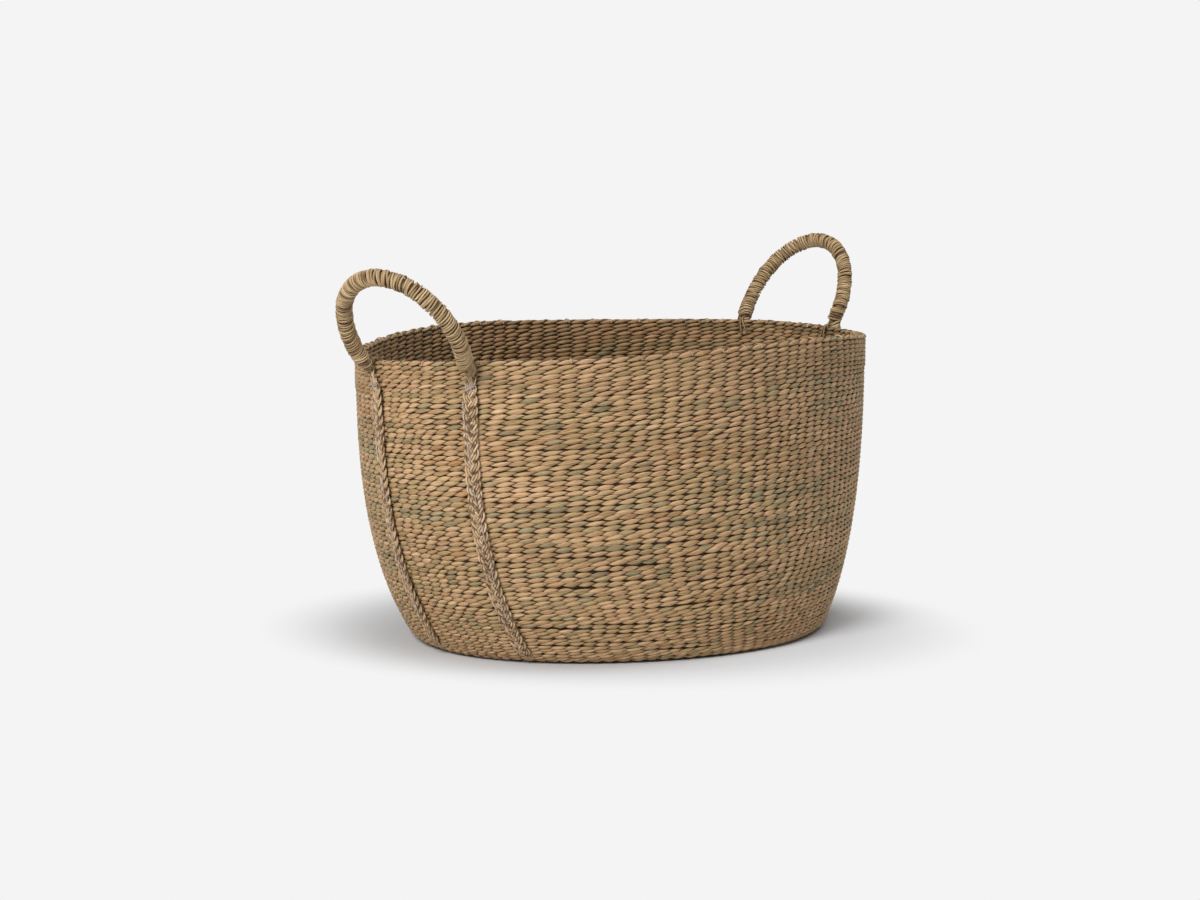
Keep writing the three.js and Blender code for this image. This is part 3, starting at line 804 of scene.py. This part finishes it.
def grass_finishes():
    """Tones of each grass finish, the light that painted shade leaves in its crossings and the strength of
    its streaks.
    """
    c = bpy.context.scene.finish_colours
    weave = list(zip((0.04, 0.24, 0.44, 0.62, 0.88),
                     (c.grass_shade, c.grass_olive, c.grass_straw, c.grass_rose, c.grass_orange)))
    rim = [(place, tuple(0.9 * level for level in colour)) for place, colour in weave]
    braid = [(0.1, linear(164, 136, 102)), (0.35, linear(208, 180, 142)), (0.55, linear(224, 194, 156)),
             (0.8, linear(240, 216, 184))]
    winding = [(0.12, linear(122, 99, 63)), (0.34, linear(180, 155, 113)), (0.6, linear(215, 189, 148)),
               (0.8, linear(233, 212, 177)), (0.95, c.grass_orange)]
    return {
        "weave": (weave, 0.05, 0.75),
        "rim": (rim, 0.05, 0.75),
        "braid": (braid, 0.2, 0.45),
        "winding": (winding, 0.12, 0.6),
        # Core: the stakes are real parts; their near-black brown is painted shade where it shows through the
        # holes of the weave
        "core": ([(0.2, linear(44, 32, 18)), (0.8, linear(62, 46, 28))], 0.2, 0.5),
        # Rope: the rope under the winding, its darker brown partly its own colour and partly painted shade
        # between the wound leaves
        "rope": ([(0.2, linear(118, 98, 66)), (0.8, linear(158, 134, 96))], 0.2, 0.5),
        "tie": ([(0.2, linear(150, 128, 88)), (0.8, linear(204, 178, 138))], 0.2, 0.5),
    }


def grass_material(finish):
    """Dried sea grass: a tone for each strand, long fibres, and painted shade that makes the crossings darker
    and browner.
    """
    stops, darkest, streaks = grass_finishes()[finish]
    tree = MaterialTree(f"seagrass_{finish}")
    grain = tree.read("grain", "Vector")
    base = tree.ramp(tree.read("tone"), stops)
    broad = tree.noise(grain * (0.55, 0.55, 0.035), 2.0)
    fibres = tree.noise(grain * (2.6, 2.6, 0.07), 3.0)
    streak = tree.smooth(fibres, 0.34, 0.66)
    light = tree.mix(streaks, (1.0, 1.0, 1.0, 1), tree.ramp(streak, [
        (0.0, linear(150, 132, 108)), (0.4, linear(225, 216, 204)), (1.0, linear(255, 252, 246)),
    ]), "MULTIPLY")
    wide = tree.ramp(tree.smooth(broad, 0.3, 0.7), [
        (0.0, linear(206, 196, 188)), (1.0, linear(255, 255, 255)),
    ])
    coloured = tree.mix(0.7, tree.mix(1.0, base, light, "MULTIPLY"), wide, "MULTIPLY")
    # Painted shade: the shade attribute mixes the colour towards a darker brown, down to the finish's darkest
    # share
    painted_light_share = tree.smooth(tree.read("shade"), 0.0, 0.9)
    painted_shade_colour = tree.mix(1.0, coloured, (*linear(100, 70, 40), 1), "MULTIPLY")
    coloured = tree.mix(painted_light_share * (1 - darkest) + darkest, painted_shade_colour, coloured)
    bump = tree.put("ShaderNodeBump", Strength=1.0, Distance=0.00035, Height=fibres * 0.7 + broad * 0.6)
    return tree.close(
        Base_Color=coloured, Roughness=0.72 - streak * 0.16, Specular_IOR_Level=0.32, Normal=bump,
    )


def thread_material():
    tree = MaterialTree("sewing_thread")
    grain = tree.read("grain", "Vector")
    twist = tree.put("ShaderNodeTexWave", Vector=grain * (1.0, 1.0, 2.0), Scale=1.2, Distortion=0.6)
    thread = bpy.context.scene.finish_colours.thread
    colour = tree.mix(twist, (*linear(160, 150, 150), 1), (*thread, 1))
    bump = tree.put("ShaderNodeBump", Strength=0.5, Distance=0.0001, Height=twist)
    return tree.close(Base_Color=colour, Roughness=0.5, Normal=bump)


def finish_material(finish):
    """The material of a finish, made when it is first asked for."""
    if finish == "thread":
        return bpy.data.materials.get("sewing_thread") or thread_material()
    return bpy.data.materials.get(f"seagrass_{finish}") or grass_material(finish)


# Operators


def twine(name, lines, finish, *, width, thickness, depth, rise, sides=6, crossing=0.0, stagger=1.0,
          wander=1.0):
    """Twines rows on guide lines. Stagger and wander are given as shares of the wall's."""
    weave = bpy.context.scene.weave_settings
    return grow(
        name, "twined", lines, finish, closed=True, Stakes=weave.stakes, Depth=depth, Rise=rise, Width=width,
        Thickness=thickness, Crossing=weave.crossing_share + crossing, Point=weave.point,
        Stagger=weave.stagger * stagger, Wander=weave.wander * wander, Sides=sides, Seed=weave.seed,
    )


def sizes_of(settings, *names):
    """Settings that a tree takes under their own names."""
    return {name: getattr(settings, name.lower()) for name in names}


def lay(name, lines, finish, kind, *, width, thickness, sides):
    """Lays plain strands on guide lines, with the seed of their kind."""
    return grow(name, "strand", lines, finish, Width=width, Thickness=thickness, Sides=sides,
                Seed=SEEDS[kind])


class BASKET_OT_weave_wall(Operator):
    """Twines the rows of the wall, which are closer together near the floor"""

    bl_idname = "basket.weave_wall"
    bl_label = "Weave Wall"

    rows_in_piece = 12
    # The part of the wall over which the rows widen from the floor up
    low_part = 0.42

    def execute(self, context):
        weave = context.scene.weave_settings
        low = weave.low_pitch_share
        share = low + (1 - low) * smooth_share(np.arange(weave.wall_rows), 0, self.low_part * weave.wall_rows)
        tops = np.cumsum(share) / share.sum() * (band_low.z - wall_low.z)
        pitches = np.diff(tops, prepend=0)
        mean_pitch = pitches.mean()
        lines = []
        for row, (height, pitch) in enumerate(zip(tops - pitches / 2, pitches)):
            line = ring_line(height, "wall", row)
            line["pitch_share"] = pitch / mean_pitch / line["upward"][:, 2]
            lines.append(line)
        for first in range(0, len(lines), self.rows_in_piece):
            piece = twine(
                f"wall_rows_{first // self.rows_in_piece + 1}", lines[first:first + self.rows_in_piece],
                "weave", width=mean_pitch * weave.fullness, thickness=weave.wall_thickness,
                depth=weave.wall_depth, rise=weave.wall_rise,
            )
            seat(piece, "weave", "wall_weave")
        return {"FINISHED"}


class BASKET_OT_weave_rim(Operator):
    """Twines the thicker rows under the rim and the border on top of them"""

    bl_idname = "basket.weave_rim"
    bl_label = "Weave Rim"

    border_pitch = 3.8 * MM
    # How far the bent end of a stake lies outside the wall and above the border, point by point
    end_outs = np.array([0.4, 0.4, -0.9, -3.0, -5.1, -6.3, -6.3]) * MM
    end_rises = np.array([-2.8, -1.8, -0.6, -0.2, -0.6, -1.8, -2.8]) * MM
    bent_share = 0.7
    # Least and greatest slant, shift in stakes, lift and thickness of a bent end
    end_chances = ((-1.6, -0.3, 0, 0.6), (1.6, 0.3, 0.9, 1.05))
    mean_radius = 220 * MM

    def execute(self, context):
        weave = context.scene.weave_settings
        pitch = (TOP - self.border_pitch - band_low.z) / weave.band_rows
        lines = [ring_line(band_low.z + pitch * (row + 0.5), "band", row) for row in range(weave.band_rows)]
        looser = {"rise": weave.band_rise, "sides": 8, "crossing": 0.05, "stagger": 0.7, "wander": 1.3}
        band = twine("band_rows", lines, "rim", width=pitch * weave.fullness,
                     thickness=weave.band_thickness, depth=weave.band_depth, **looser)
        seat(band, "rim", "rim_band")
        line = ring_line(TOP - self.border_pitch / 2, "border")
        border = twine("border_row", [line], "rim", width=self.border_pitch, thickness=3.2 * MM,
                       depth=1.6 * MM, **looser)
        seat(border, "rim", "rim_border")
        ends = lay("stake_ends", self.stake_ends(weave), "rim", "stake_end", width=2.6 * MM,
                   thickness=1.4 * MM, sides=6)
        seat(ends, "rim")
        return {"FINISHED"}

    def stake_ends(self, weave):
        """Ends of stakes that are bent over the border, one here and there."""
        chance = np.random.default_rng(weave.seed)
        lines = []
        for stake in range(weave.stakes):
            if chance.random() > self.bent_share:
                continue
            slant, shift, lift, girth = chance.uniform(*self.end_chances)
            side = np.linspace(-slant, slant, len(self.end_outs)) * MM / self.mean_radius
            turn = stake_turn(stake + shift, weave.stakes) + side
            point, outward, _, _ = wall_surface(turn, TOP, self.end_outs)
            point[:, 2] += self.end_rises + lift * MM * (self.end_rises > -1 * MM)
            points = eased(even_points(point), 2)
            normal = facing(points, np.cross(outward[3], (0, 0, 1)))
            lines.append(strand_line(points, normal, "stake_end", stake, girth))
        return lines


class BASKET_OT_weave_base(Operator):
    """Twines the oval mat of the base, which is hollowed a little over the braids"""

    bl_idname = "basket.weave_base"
    bl_label = "Weave Base"

    rings = 36
    # Height at which the mat takes the wall's outline, and how far its first round lies inside it
    outline_height, edge = 6 * MM, 7 * MM
    # The hollow over a braid: half its width, its depth, and how much thinner the strands are there
    hollow_half, hollow_depth, thinner = 7 * MM, 0.9 * MM, 0.25

    def execute(self, context):
        weave = context.scene.weave_settings
        half_length, half_width, power = wall_outline(self.outline_height)
        ring_pitch = (half_width - self.edge) / (self.rings - 0.5)
        lines = []
        for ring in range(self.rings):
            inset = self.edge + ring * ring_pitch
            share = 1 - ring / self.rings
            stakes = weave.stakes if share > 0.5 else weave.stakes // 2 if share > 0.25 else weave.stakes // 4
            place = ring_places(stakes)
            turn = stake_turn(place, stakes)
            outline = (half_length - inset, half_width - inset, power)
            point = oval_point(turn, *outline, BASE_MIDDLE)
            near_braid = np.exp(-(((np.abs(point[:, 1]) - BRAID_ACROSS_FLOOR) / self.hollow_half) ** 4))
            point[:, 2] += near_braid * self.hollow_depth
            lines.append({
                "points": point, "outward": (0.0, 0.0, 1.0),
                "upward": oval_outward(turn, *outline), "stake": place, "open": 0.0,
                "row": float(FIRST_NUMBER["base"] + ring), "pitch_share": 1.0 - self.thinner * near_braid,
            })
        outer = self.rings // 3
        for part, group in enumerate((lines[:outer], lines[outer:])):
            piece = twine(f"base_rows_{part + 1}", group, "weave", width=ring_pitch * 1.1,
                          thickness=1.9 * MM, depth=0.9 * MM, rise=1.1 * MM, stagger=0.5, wander=0.7)
            seat(piece, "weave", "base_weave")
        return {"FINISHED"}


class BASKET_OT_stand_stakes(Operator):
    """Stands the stakes in the wall, between the strands of each pair"""

    bl_idname = "basket.stand_stakes"
    bl_label = "Stand Stakes"

    stake_width = 13 * MM
    # Stakes are a little wider than the space to the next, and lie in turn inside and outside the middle
    overlap = 1.3
    step_out = 0.35 * MM
    # Points along a stake, and how far it stays from the floor and from the top
    points, end_gap = 40, 3 * MM

    def execute(self, context):
        count = context.scene.weave_settings.stakes
        height = np.linspace(self.end_gap, TOP - self.end_gap, self.points)
        lines = []
        for stake in range(count):
            turn = np.full_like(height, stake_turn(stake, count))
            out = WEAVE_MIDDLE + (self.step_out if stake % 2 else -self.step_out)
            point, outward, _, _ = wall_surface(turn, height, out)
            next_point, _, _, _ = wall_surface(turn + FULL_TURN / count, height, out)
            girth = np.linalg.norm(next_point - point, axis=1) * self.overlap / self.stake_width
            lines.append(strand_line(point, outward, "stake", stake, girth))
        # The stakes close into one sheet; their near-black core finish is painted shade in the holes of the
        # weave
        stakes = lay("stakes", lines, "core", "stake", width=self.stake_width, thickness=0.6 * MM, sides=6)
        seat(stakes, "weave")
        return {"FINISHED"}


# Sewn down, the straps sink a little into the weave
BRAID_GAP = -0.8 * MM
BRAID_THICKNESS = 3.4 * MM
BRAID_RUN_HEIGHT = 1.9 * MM
BEND_HEIGHT = 16 * MM
BEND_REACH = 36 * MM
BRAID_ACROSS_FLOOR = 41.5 * MM
# Share of a strap's width at a foot, and the height over which it widens below
FOOT_GIRTH, WIDENING_DROP = 0.62, 24 * MM
FOOT_ACROSS = (foot_low.y + foot_high.y) / 2


def corner_surface(end, side, across, height, out=0.0):
    """The wall's surface at one of the four corners, at a distance from the middle plane."""
    _, half_width, power = wall_outline(height)
    turn = np.arcsin((across / half_width) ** (power / 2))
    if ENDS[end] < 0:
        turn = math.pi - turn
    return wall_surface(turn * SIDES[side], height, out)


def braid_on_wall(height, end, side):
    """Points on the middle of a strap, with the directions out of it, up along it and across it."""
    at_rim = bpy.context.scene.braid_settings.across_rim[2 * (ENDS[end] > 0) + (SIDES[side] > 0)]
    across = BRAID_ACROSS_FLOOR + (at_rim - BRAID_ACROSS_FLOOR) * height / TOP
    # Below a foot the strap swings in from the foot's place
    foot_share = smooth_share(height, TOP - 25 * MM, foot_low.z + 3 * MM)
    across = across + (FOOT_ACROSS - across) * foot_share
    band = band_high.z - band_low.z
    step = bpy.context.scene.basket_shape.band_proud * smooth_share(height, band_low.z - band, band_low.z)
    return corner_surface(end, side, across, height, BRAID_GAP + BRAID_THICKNESS / 2 + step)


def strap_half(end, side):
    """The run of a strap from a foot down the wall to the middle of the base, and its directions across."""
    height = np.arange(foot_low.z + 4 * MM, BEND_HEIGHT, -2 * MM)
    wall, _, _, sideways = braid_on_wall(height, end, side)
    sideways = sideways * ENDS[end]
    down = unit_rows(wall[-1] - wall[-2])
    start = wall[-1]
    run = np.array([start[0] - BEND_REACH * ENDS[end], BRAID_ACROSS_FLOOR * SIDES[side], BRAID_RUN_HEIGHT])
    reach = BEND_REACH / 3
    corners = [start, start + down * reach, run + np.array([reach * ENDS[end], 0, 0]), run]
    t = np.linspace(0, 1, 20)[1:, None]
    weights = ((1 - t) ** 3, 3 * t * (1 - t) ** 2, 3 * t**2 * (1 - t), t**3)
    bend = sum(w * c for w, c in zip(weights, corners))
    flat_x = np.linspace(run[0], 0, 40)[1:-1]
    floor = np.stack([flat_x, np.full_like(flat_x, run[1]), np.full_like(flat_x, run[2])], 1)
    level = np.array([0.0, 1.0, 0.0])
    turned = unit_rows(sideways[-1] * (1 - t) + level * t)
    across = np.concatenate([sideways, turned, np.tile(level, (len(floor), 1))])
    return np.concatenate([wall, bend, floor]), across


def braid_line(side):
    """The run of a strap, from the right foot down, under the base and up to the left foot."""
    (right, right_across), (left, left_across) = (strap_half(end, side) for end in ENDS)
    points = np.concatenate([right, left[::-1]])
    across = np.concatenate([right_across, left_across[::-1]])
    girth = FOOT_GIRTH + (1 - FOOT_GIRTH) * smooth_share(foot_low.z - points[:, 2], 0, WIDENING_DROP)
    return {"points": points, "sideways": across, "outward": facing(points, across), "girth": girth}


class BASKET_OT_braid_straps(Operator):
    """Braids the two flat straps that run down the ends and under the base"""

    bl_idname = "basket.braid_straps"
    bl_label = "Braid Straps"

    step = 1.3 * MM

    def execute(self, context):
        braid = context.scene.braid_settings
        strand_half = braid.leaf_spacing * braid.leaves / 2
        for side in SIDES:
            piece = grow(
                f"plaited_strap_{side}", "braid", [braid_line(side)], "braid", Step=self.step,
                Sweep=braid.width / 2 - strand_half, Depth=BRAID_THICKNESS / 2 - braid.leaf_thickness / 2,
                Seed=SEEDS["braid"] + SIDES[side],
                **sizes_of(braid, "Period", "Leaves", "Leaf_Spacing", "Leaf_Width", "Leaf_Thickness"),
            )
            seat(piece, "braid", f"braid_{side}")
        return {"FINISHED"}


class BASKET_OT_wind_handles(Operator):
    """Lays the ropes of the handles and winds them from foot to foot"""

    bl_idname = "basket.wind_handles"
    bl_label = "Wind Handles"

    steps_in_turn = 20
    # Course of a rope's end in its foot: height over the foot's lowest point, and place outside the wall
    end_heights = np.array([2.6, 3.8]) * MM
    end_outs = np.array([5.0, 6.8]) * MM
    # Height over the foot's lowest point at which the arch starts, and points that ease its joint
    arch_height, easing = 5 * MM, 10
    # The ends of a rope: their thickness and how far it changes, and the lean of the winding there
    end_girth, taper_reach = 0.6, 15 * MM
    end_tilt, tilt_reach = 0.55, (6 * MM, 34 * MM)
    # How far below and above the hinge the rope bends
    bend_below = 12 * MM
    bend_above = 10 * MM

    def rope_line(self, handle, end):
        """The middle of a handle's rope, from one foot over the crown to the other foot."""
        k = int(ENDS[end] > 0)
        start, rise, lean = handle.start[k], handle.rise[k], handle.lean[k]
        half_span = FOOT_ACROSS + handle.bulge[k]
        sweep = math.pi - math.asin(FOOT_ACROSS / half_span)
        half_rise = rise / (1 - math.cos(sweep))
        angle = np.linspace(-sweep, sweep, 160)
        up = half_rise * (np.cos(angle) - math.cos(sweep))
        arch = np.stack([
            handle.foot[k] + up * math.sin(lean), half_span * np.sin(angle) + handle.sway[k] * up,
            start + up * math.cos(lean),
        ], 1)
        arch = arch[arch[:, 2] > foot_low.z + self.arch_height] * np.array([ENDS[end], ENDS[end], 1.0])
        height = foot_low.z + self.end_heights
        first, last = [corner_surface(end, side, np.full(2, FOOT_ACROSS), height, self.end_outs)[0]
                       for side in (("front", "back") if k else ("back", "front"))]
        points = eased(even_points(np.concatenate([first, arch, last[::-1]])), self.easing)
        from_end = np.minimum(np.arange(len(points)), np.arange(len(points))[::-1]) * 0.5 * MM
        taper = self.end_girth + (1 - self.end_girth) * smooth_share(from_end, 0, self.taper_reach)
        normal = np.array([math.cos(lean) * ENDS[end], 0.0, -math.sin(lean)])
        line = strand_line(points, normal, "rope", girth=taper)
        return {**line, "tilt": self.end_tilt * (1 - smooth_share(from_end, *self.tilt_reach))}

    def execute(self, context):
        handle = context.scene.handle_settings
        core_size = handle.rope - 2.2 * handle.leaf_thickness
        for end in ENDS:
            line = self.rope_line(handle, end)
            # The rope's darker brown is partly painted shade where it shows between the wound leaves
            core = lay(f"rope_{end}", [line], "rope", "rope", width=core_size, thickness=core_size, sides=12)
            outer_line = {**line, "girth": line["girth"] * handle.rope / 2}
            winding = grow(
                f"wound_leaves_{end}", "wound", [outer_line], "winding", Steps=self.steps_in_turn,
                Seed=SEEDS["winding"] + ENDS[end],
                **sizes_of(handle, "Pitch", "Leaves", "Leaf_Width", "Leaf_Thickness"),
            )
            for piece, slot, kind in ((core, "rope", "core"), (winding, "winding", "winding")):
                x = ENDS[end] * hinge.x
                low = hinge.z - self.bend_below
                high = hinge.z + self.bend_above
                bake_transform(piece, "basket", f"{end}_handle", start=(x, 0, low), end=(x, 0, high))
                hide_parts(f"handle_{kind}_{end}", *(f"foot_{kind}_{end}_{side}" for side in SIDES))
        return {"FINISHED"}


class BASKET_OT_tie_feet(Operator):
    """Ties the feet of the handles over the rim and down inside it"""

    bl_idname = "basket.tie_feet"
    bl_label = "Tie Feet"

    # How far a tie lies outside the wall and above the rim, point by point from the foot over the rim
    outs = np.array([3.0, 2.6, 0.6, -3.0, -6.4, -7.6, -7.8, -7.6, -5.0]) * MM
    rises = np.array([-9.0, -3.0, 1.4, 2.0, 1.0, -2.4, -8.0]) * MM
    end_rises = np.array([2.0, 0.0]) * MM
    # Sideways shift and slant of each strand
    strands = ((-0.8 * MM, 0.35), (0.9 * MM, 0.1))

    def tie_line(self, sewing, end, side, strand):
        shift, slant = self.strands[strand]
        heights = np.concatenate([TOP + self.rises, TOP - sewing.tie_drop + self.end_rises])
        inside = np.clip(TOP - heights, 0, None) * (self.outs < -3 * MM)
        level = np.full_like(self.outs, TOP)
        across = FOOT_ACROSS + shift - slant * inside
        tie, _, _, sideways = corner_surface(end, side, across, level, self.outs)
        tie[:, 2] += heights - TOP
        points = eased(even_points(tie), 3)
        normal = facing(points, -sideways[0])
        return strand_line(points, normal, "tie", strand)

    def execute(self, context):
        sewing = context.scene.sewing_settings
        for end, side in CORNERS:
            lines = [self.tie_line(sewing, end, side, strand) for strand in range(len(self.strands))]
            piece = lay(f"tie_strands_{end}_{side}", lines, "tie", "tie", width=sewing.tie_width,
                        thickness=1.3 * MM, sides=8)
            seat(piece, "tie", f"foot_tie_{end}_{side}")
        return {"FINISHED"}


class BASKET_OT_sew_straps(Operator):
    """Sews the straps to the wall with crossed threads and long stitches"""

    bl_idname = "basket.sew_straps"
    bl_label = "Sew Straps"

    # Course of a crossed thread: share of its reach, and height over the braid's surface
    cross_shares = np.array([-1.05, -1.0, -0.6, 0, 0.6, 1.0, 1.05])
    cross_outs = np.array([-0.8, -0.2, 0.4, 0.6, 0.4, -0.2, -0.8]) * MM
    # Slant and shift of each crossed thread
    crossed = ((0.5, 0), (0.7, 0.8 * MM), (-0.8, 0.2 * MM))
    # Where the stitches start and end across a strap in millimetres, and how fast they drift over
    stitch_start, stitch_end, stitch_drift = -4.6, 2.4, 26
    # How far the stitches stray, how deep their middle lies, how far they dip, and where they stop
    stray, sunk, dip, margin = 0.8 * MM, 0.5 * MM, 1.0 * MM, 30 * MM

    def cross_lines(self, sewing, end, side):
        across = self.cross_shares * sewing.cross_reach
        out = self.cross_outs + BRAID_THICKNESS / 2
        height = np.full_like(across, TOP - sewing.cross_drop)
        middle, outward, upward, sideways = braid_on_wall(height, end, side)
        lines = []
        for strand, (slant, shift) in enumerate(self.crossed):
            above = out + (0.4 * MM if slant < 0 else 0)
            points = (middle + sideways * across[:, None] + outward * above[:, None]
                      + upward * (across * slant + shift)[:, None])
            points = eased(even_points(points, 0.4 * MM), 3)
            lines.append(strand_line(points, outward[0], "cross", strand))
        return lines

    def stitch_line(self, sewing, end, side):
        """A thread that dips in and out and strays from the inner edge of the strap to its middle."""
        height = np.arange(TOP - self.margin, self.margin, -1 * MM)
        middle, outward, _, sideways = braid_on_wall(height, end, side)
        phase = (TOP - height) / sewing.stitch * 2 * math.pi
        below = (TOP - height) / TOP
        across = self.stitch_start + self.stitch_drift * (below - 0.2)
        across = np.clip(across, self.stitch_start, self.stitch_end) * MM
        across = across + self.stray * np.sin(phase * 0.37 + ENDS[end] + 2 * SIDES[side])
        out = BRAID_THICKNESS / 2 - self.sunk + self.dip * np.clip(np.sin(phase) * 2, -1, 1)
        points = middle + outward * out[:, None] + sideways * across[:, None]
        return strand_line(points, outward, "stitch")

    def execute(self, context):
        sewing = context.scene.sewing_settings
        thread = sewing.thread
        for end, side in CORNERS:
            crossed = lay(f"crossed_thread_{end}_{side}", self.cross_lines(sewing, end, side), "thread",
                          "cross", width=thread, thickness=thread, sides=8)
            seat(crossed, "thread", f"braid_tie_{end}_{side}")
            stitches = lay(f"stitches_{end}_{side}", [self.stitch_line(sewing, end, side)], "thread",
                           "stitch", width=thread, thickness=thread * 0.8, sides=6)
            seat(stitches, "thread", f"braid_thread_{end}_{side}")
        return {"FINISHED"}


def aimed(name, data, place, direction):
    """Adds a lamp or a camera that looks in a direction."""
    holder = bpy.data.objects.new(name, data)
    holder.location = place
    holder.rotation_euler = Vector(direction).to_track_quat("-Z", "Y").to_euler()
    bpy.context.scene.collection.objects.link(holder)
    return holder


def seen_directly(tree):
    """One for rays that show the studio itself, and nought for rays that only light the object."""
    path = tree.put("ShaderNodeLightPath")
    seen = path.out("Is Camera Ray").greater(path.out("Is Glossy Ray"))
    return seen.greater(path.out("Is Transmission Ray"))


# How much longer and wider than the floor of the basket the shadow is, and where in it the fading lies
SHADOW_MARGINS, SHADOW_FADE = (0.01, 0.1), (0.9, 1.5)


def floor_material():
    """A floor of the background's colour that keeps the shadow round the foot of the basket."""
    tree = MaterialTree("studio_floor")
    scene = bpy.context.scene
    shape = scene.basket_shape
    place = tree.put("ShaderNodeTexCoord").out("Object")
    length, width = shape.floor_length + SHADOW_MARGINS[0], shape.floor_width + SHADOW_MARGINS[1]
    oval = place * (2 / length, 2 / width, 0.0)
    away = tree.smooth(oval.with_value("LENGTH").out("Value"), *SHADOW_FADE)
    lit = tree.put("ShaderNodeBsdfDiffuse", Color=(*linear(216, 218, 221), 1))
    plain = tree.put("ShaderNodeEmission", Color=(*scene.finish_colours.studio, 1), Strength=1.0)
    mixed = tree.put("ShaderNodeMixShader", away * seen_directly(tree), lit, plain)
    tree.put("ShaderNodeOutputMaterial", mixed)
    return tree.material


class BASKET_OT_set_stage(Operator):
    """Sets the floor, the background, the lamps and the camera"""

    bl_idname = "basket.set_stage"
    bl_label = "Set Stage"

    floor_size = 30.0
    # Place, target and width of each lamp
    lamps = {"top": ((0.3, -0.6, 3.0), (0, 0, 0.12), 2.4), "side": ((-3.0, -0.4, 2.0), (0, 0, 0.15), 1.5)}

    def execute(self, context):
        scene = context.scene
        studio = scene.studio_settings
        bpy.ops.mesh.primitive_plane_add(size=self.floor_size)
        floor = context.object
        floor.name = "studio_floor"
        floor.data.materials.append(floor_material())

        scene.world = bpy.data.worlds.new("studio")
        scene.world.use_nodes = True
        tree = Tree(scene.world.node_tree)
        tree.group.nodes.clear()
        around = tree.put("ShaderNodeBackground", Color=(1.0, 1.0, 1.0, 1), Strength=studio.sky)
        behind = tree.put("ShaderNodeBackground", Color=(*scene.finish_colours.studio, 1), Strength=1.0)
        mixed = tree.put("ShaderNodeMixShader", seen_directly(tree), around, behind)
        tree.put("ShaderNodeOutputWorld", mixed)

        for name, (place, target, width) in self.lamps.items():
            lamp = bpy.data.lights.new(f"{name}_lamp", "AREA")
            lamp.shape = "DISK"
            lamp.size = width
            lamp.energy = getattr(studio, name)
            aimed(f"{name}_lamp", lamp, place, Vector(target) - Vector(place))

        camera = bpy.data.cameras.new("camera")
        camera.lens = studio.lens
        scene.camera = aimed("camera", camera, studio.camera_place, studio.camera_aim)
        scene.view_settings.view_transform = "Standard"
        return {"FINISHED"}


SETTINGS = {
    "basket_shape": BasketShape,
    "weave_settings": WeaveSettings,
    "braid_settings": BraidSettings,
    "handle_settings": HandleSettings,
    "sewing_settings": SewingSettings,
    "finish_colours": FinishColours,
    "studio_settings": StudioSettings,
}
OPERATORS = (
    BASKET_OT_weave_wall,
    BASKET_OT_weave_rim,
    BASKET_OT_weave_base,
    BASKET_OT_stand_stakes,
    BASKET_OT_braid_straps,
    BASKET_OT_wind_handles,
    BASKET_OT_tie_feet,
    BASKET_OT_sew_straps,
    BASKET_OT_set_stage,
)


class BASKET_PT_build(Panel):
    """Lists the steps that build the basket, in order"""

    bl_idname = "BASKET_PT_build"
    bl_label = "Magazine Basket"
    bl_space_type = "VIEW_3D"
    bl_region_type = "UI"
    bl_category = "Basket"

    def draw(self, context):
        for step in OPERATORS:
            self.layout.operator(step.bl_idname)
        for name in SETTINGS:
            box = self.layout.box()
            settings = getattr(context.scene, name)
            for value in settings.__annotations__:
                box.prop(settings, value)


CLASSES = (*SETTINGS.values(), *OPERATORS, BASKET_PT_build)


def register():
    for item in CLASSES:
        bpy.utils.register_class(item)
    for name, settings in SETTINGS.items():
        setattr(bpy.types.Scene, name, PointerProperty(type=settings))


def unregister():
    for name in SETTINGS:
        delattr(bpy.types.Scene, name)
    for item in reversed(CLASSES):
        bpy.utils.unregister_class(item)


def main():
    register()
    for step in OPERATORS:
        group, name = step.bl_idname.split(".")
        getattr(getattr(bpy.ops, group), name)()


if __name__ == "__main__":
    main()
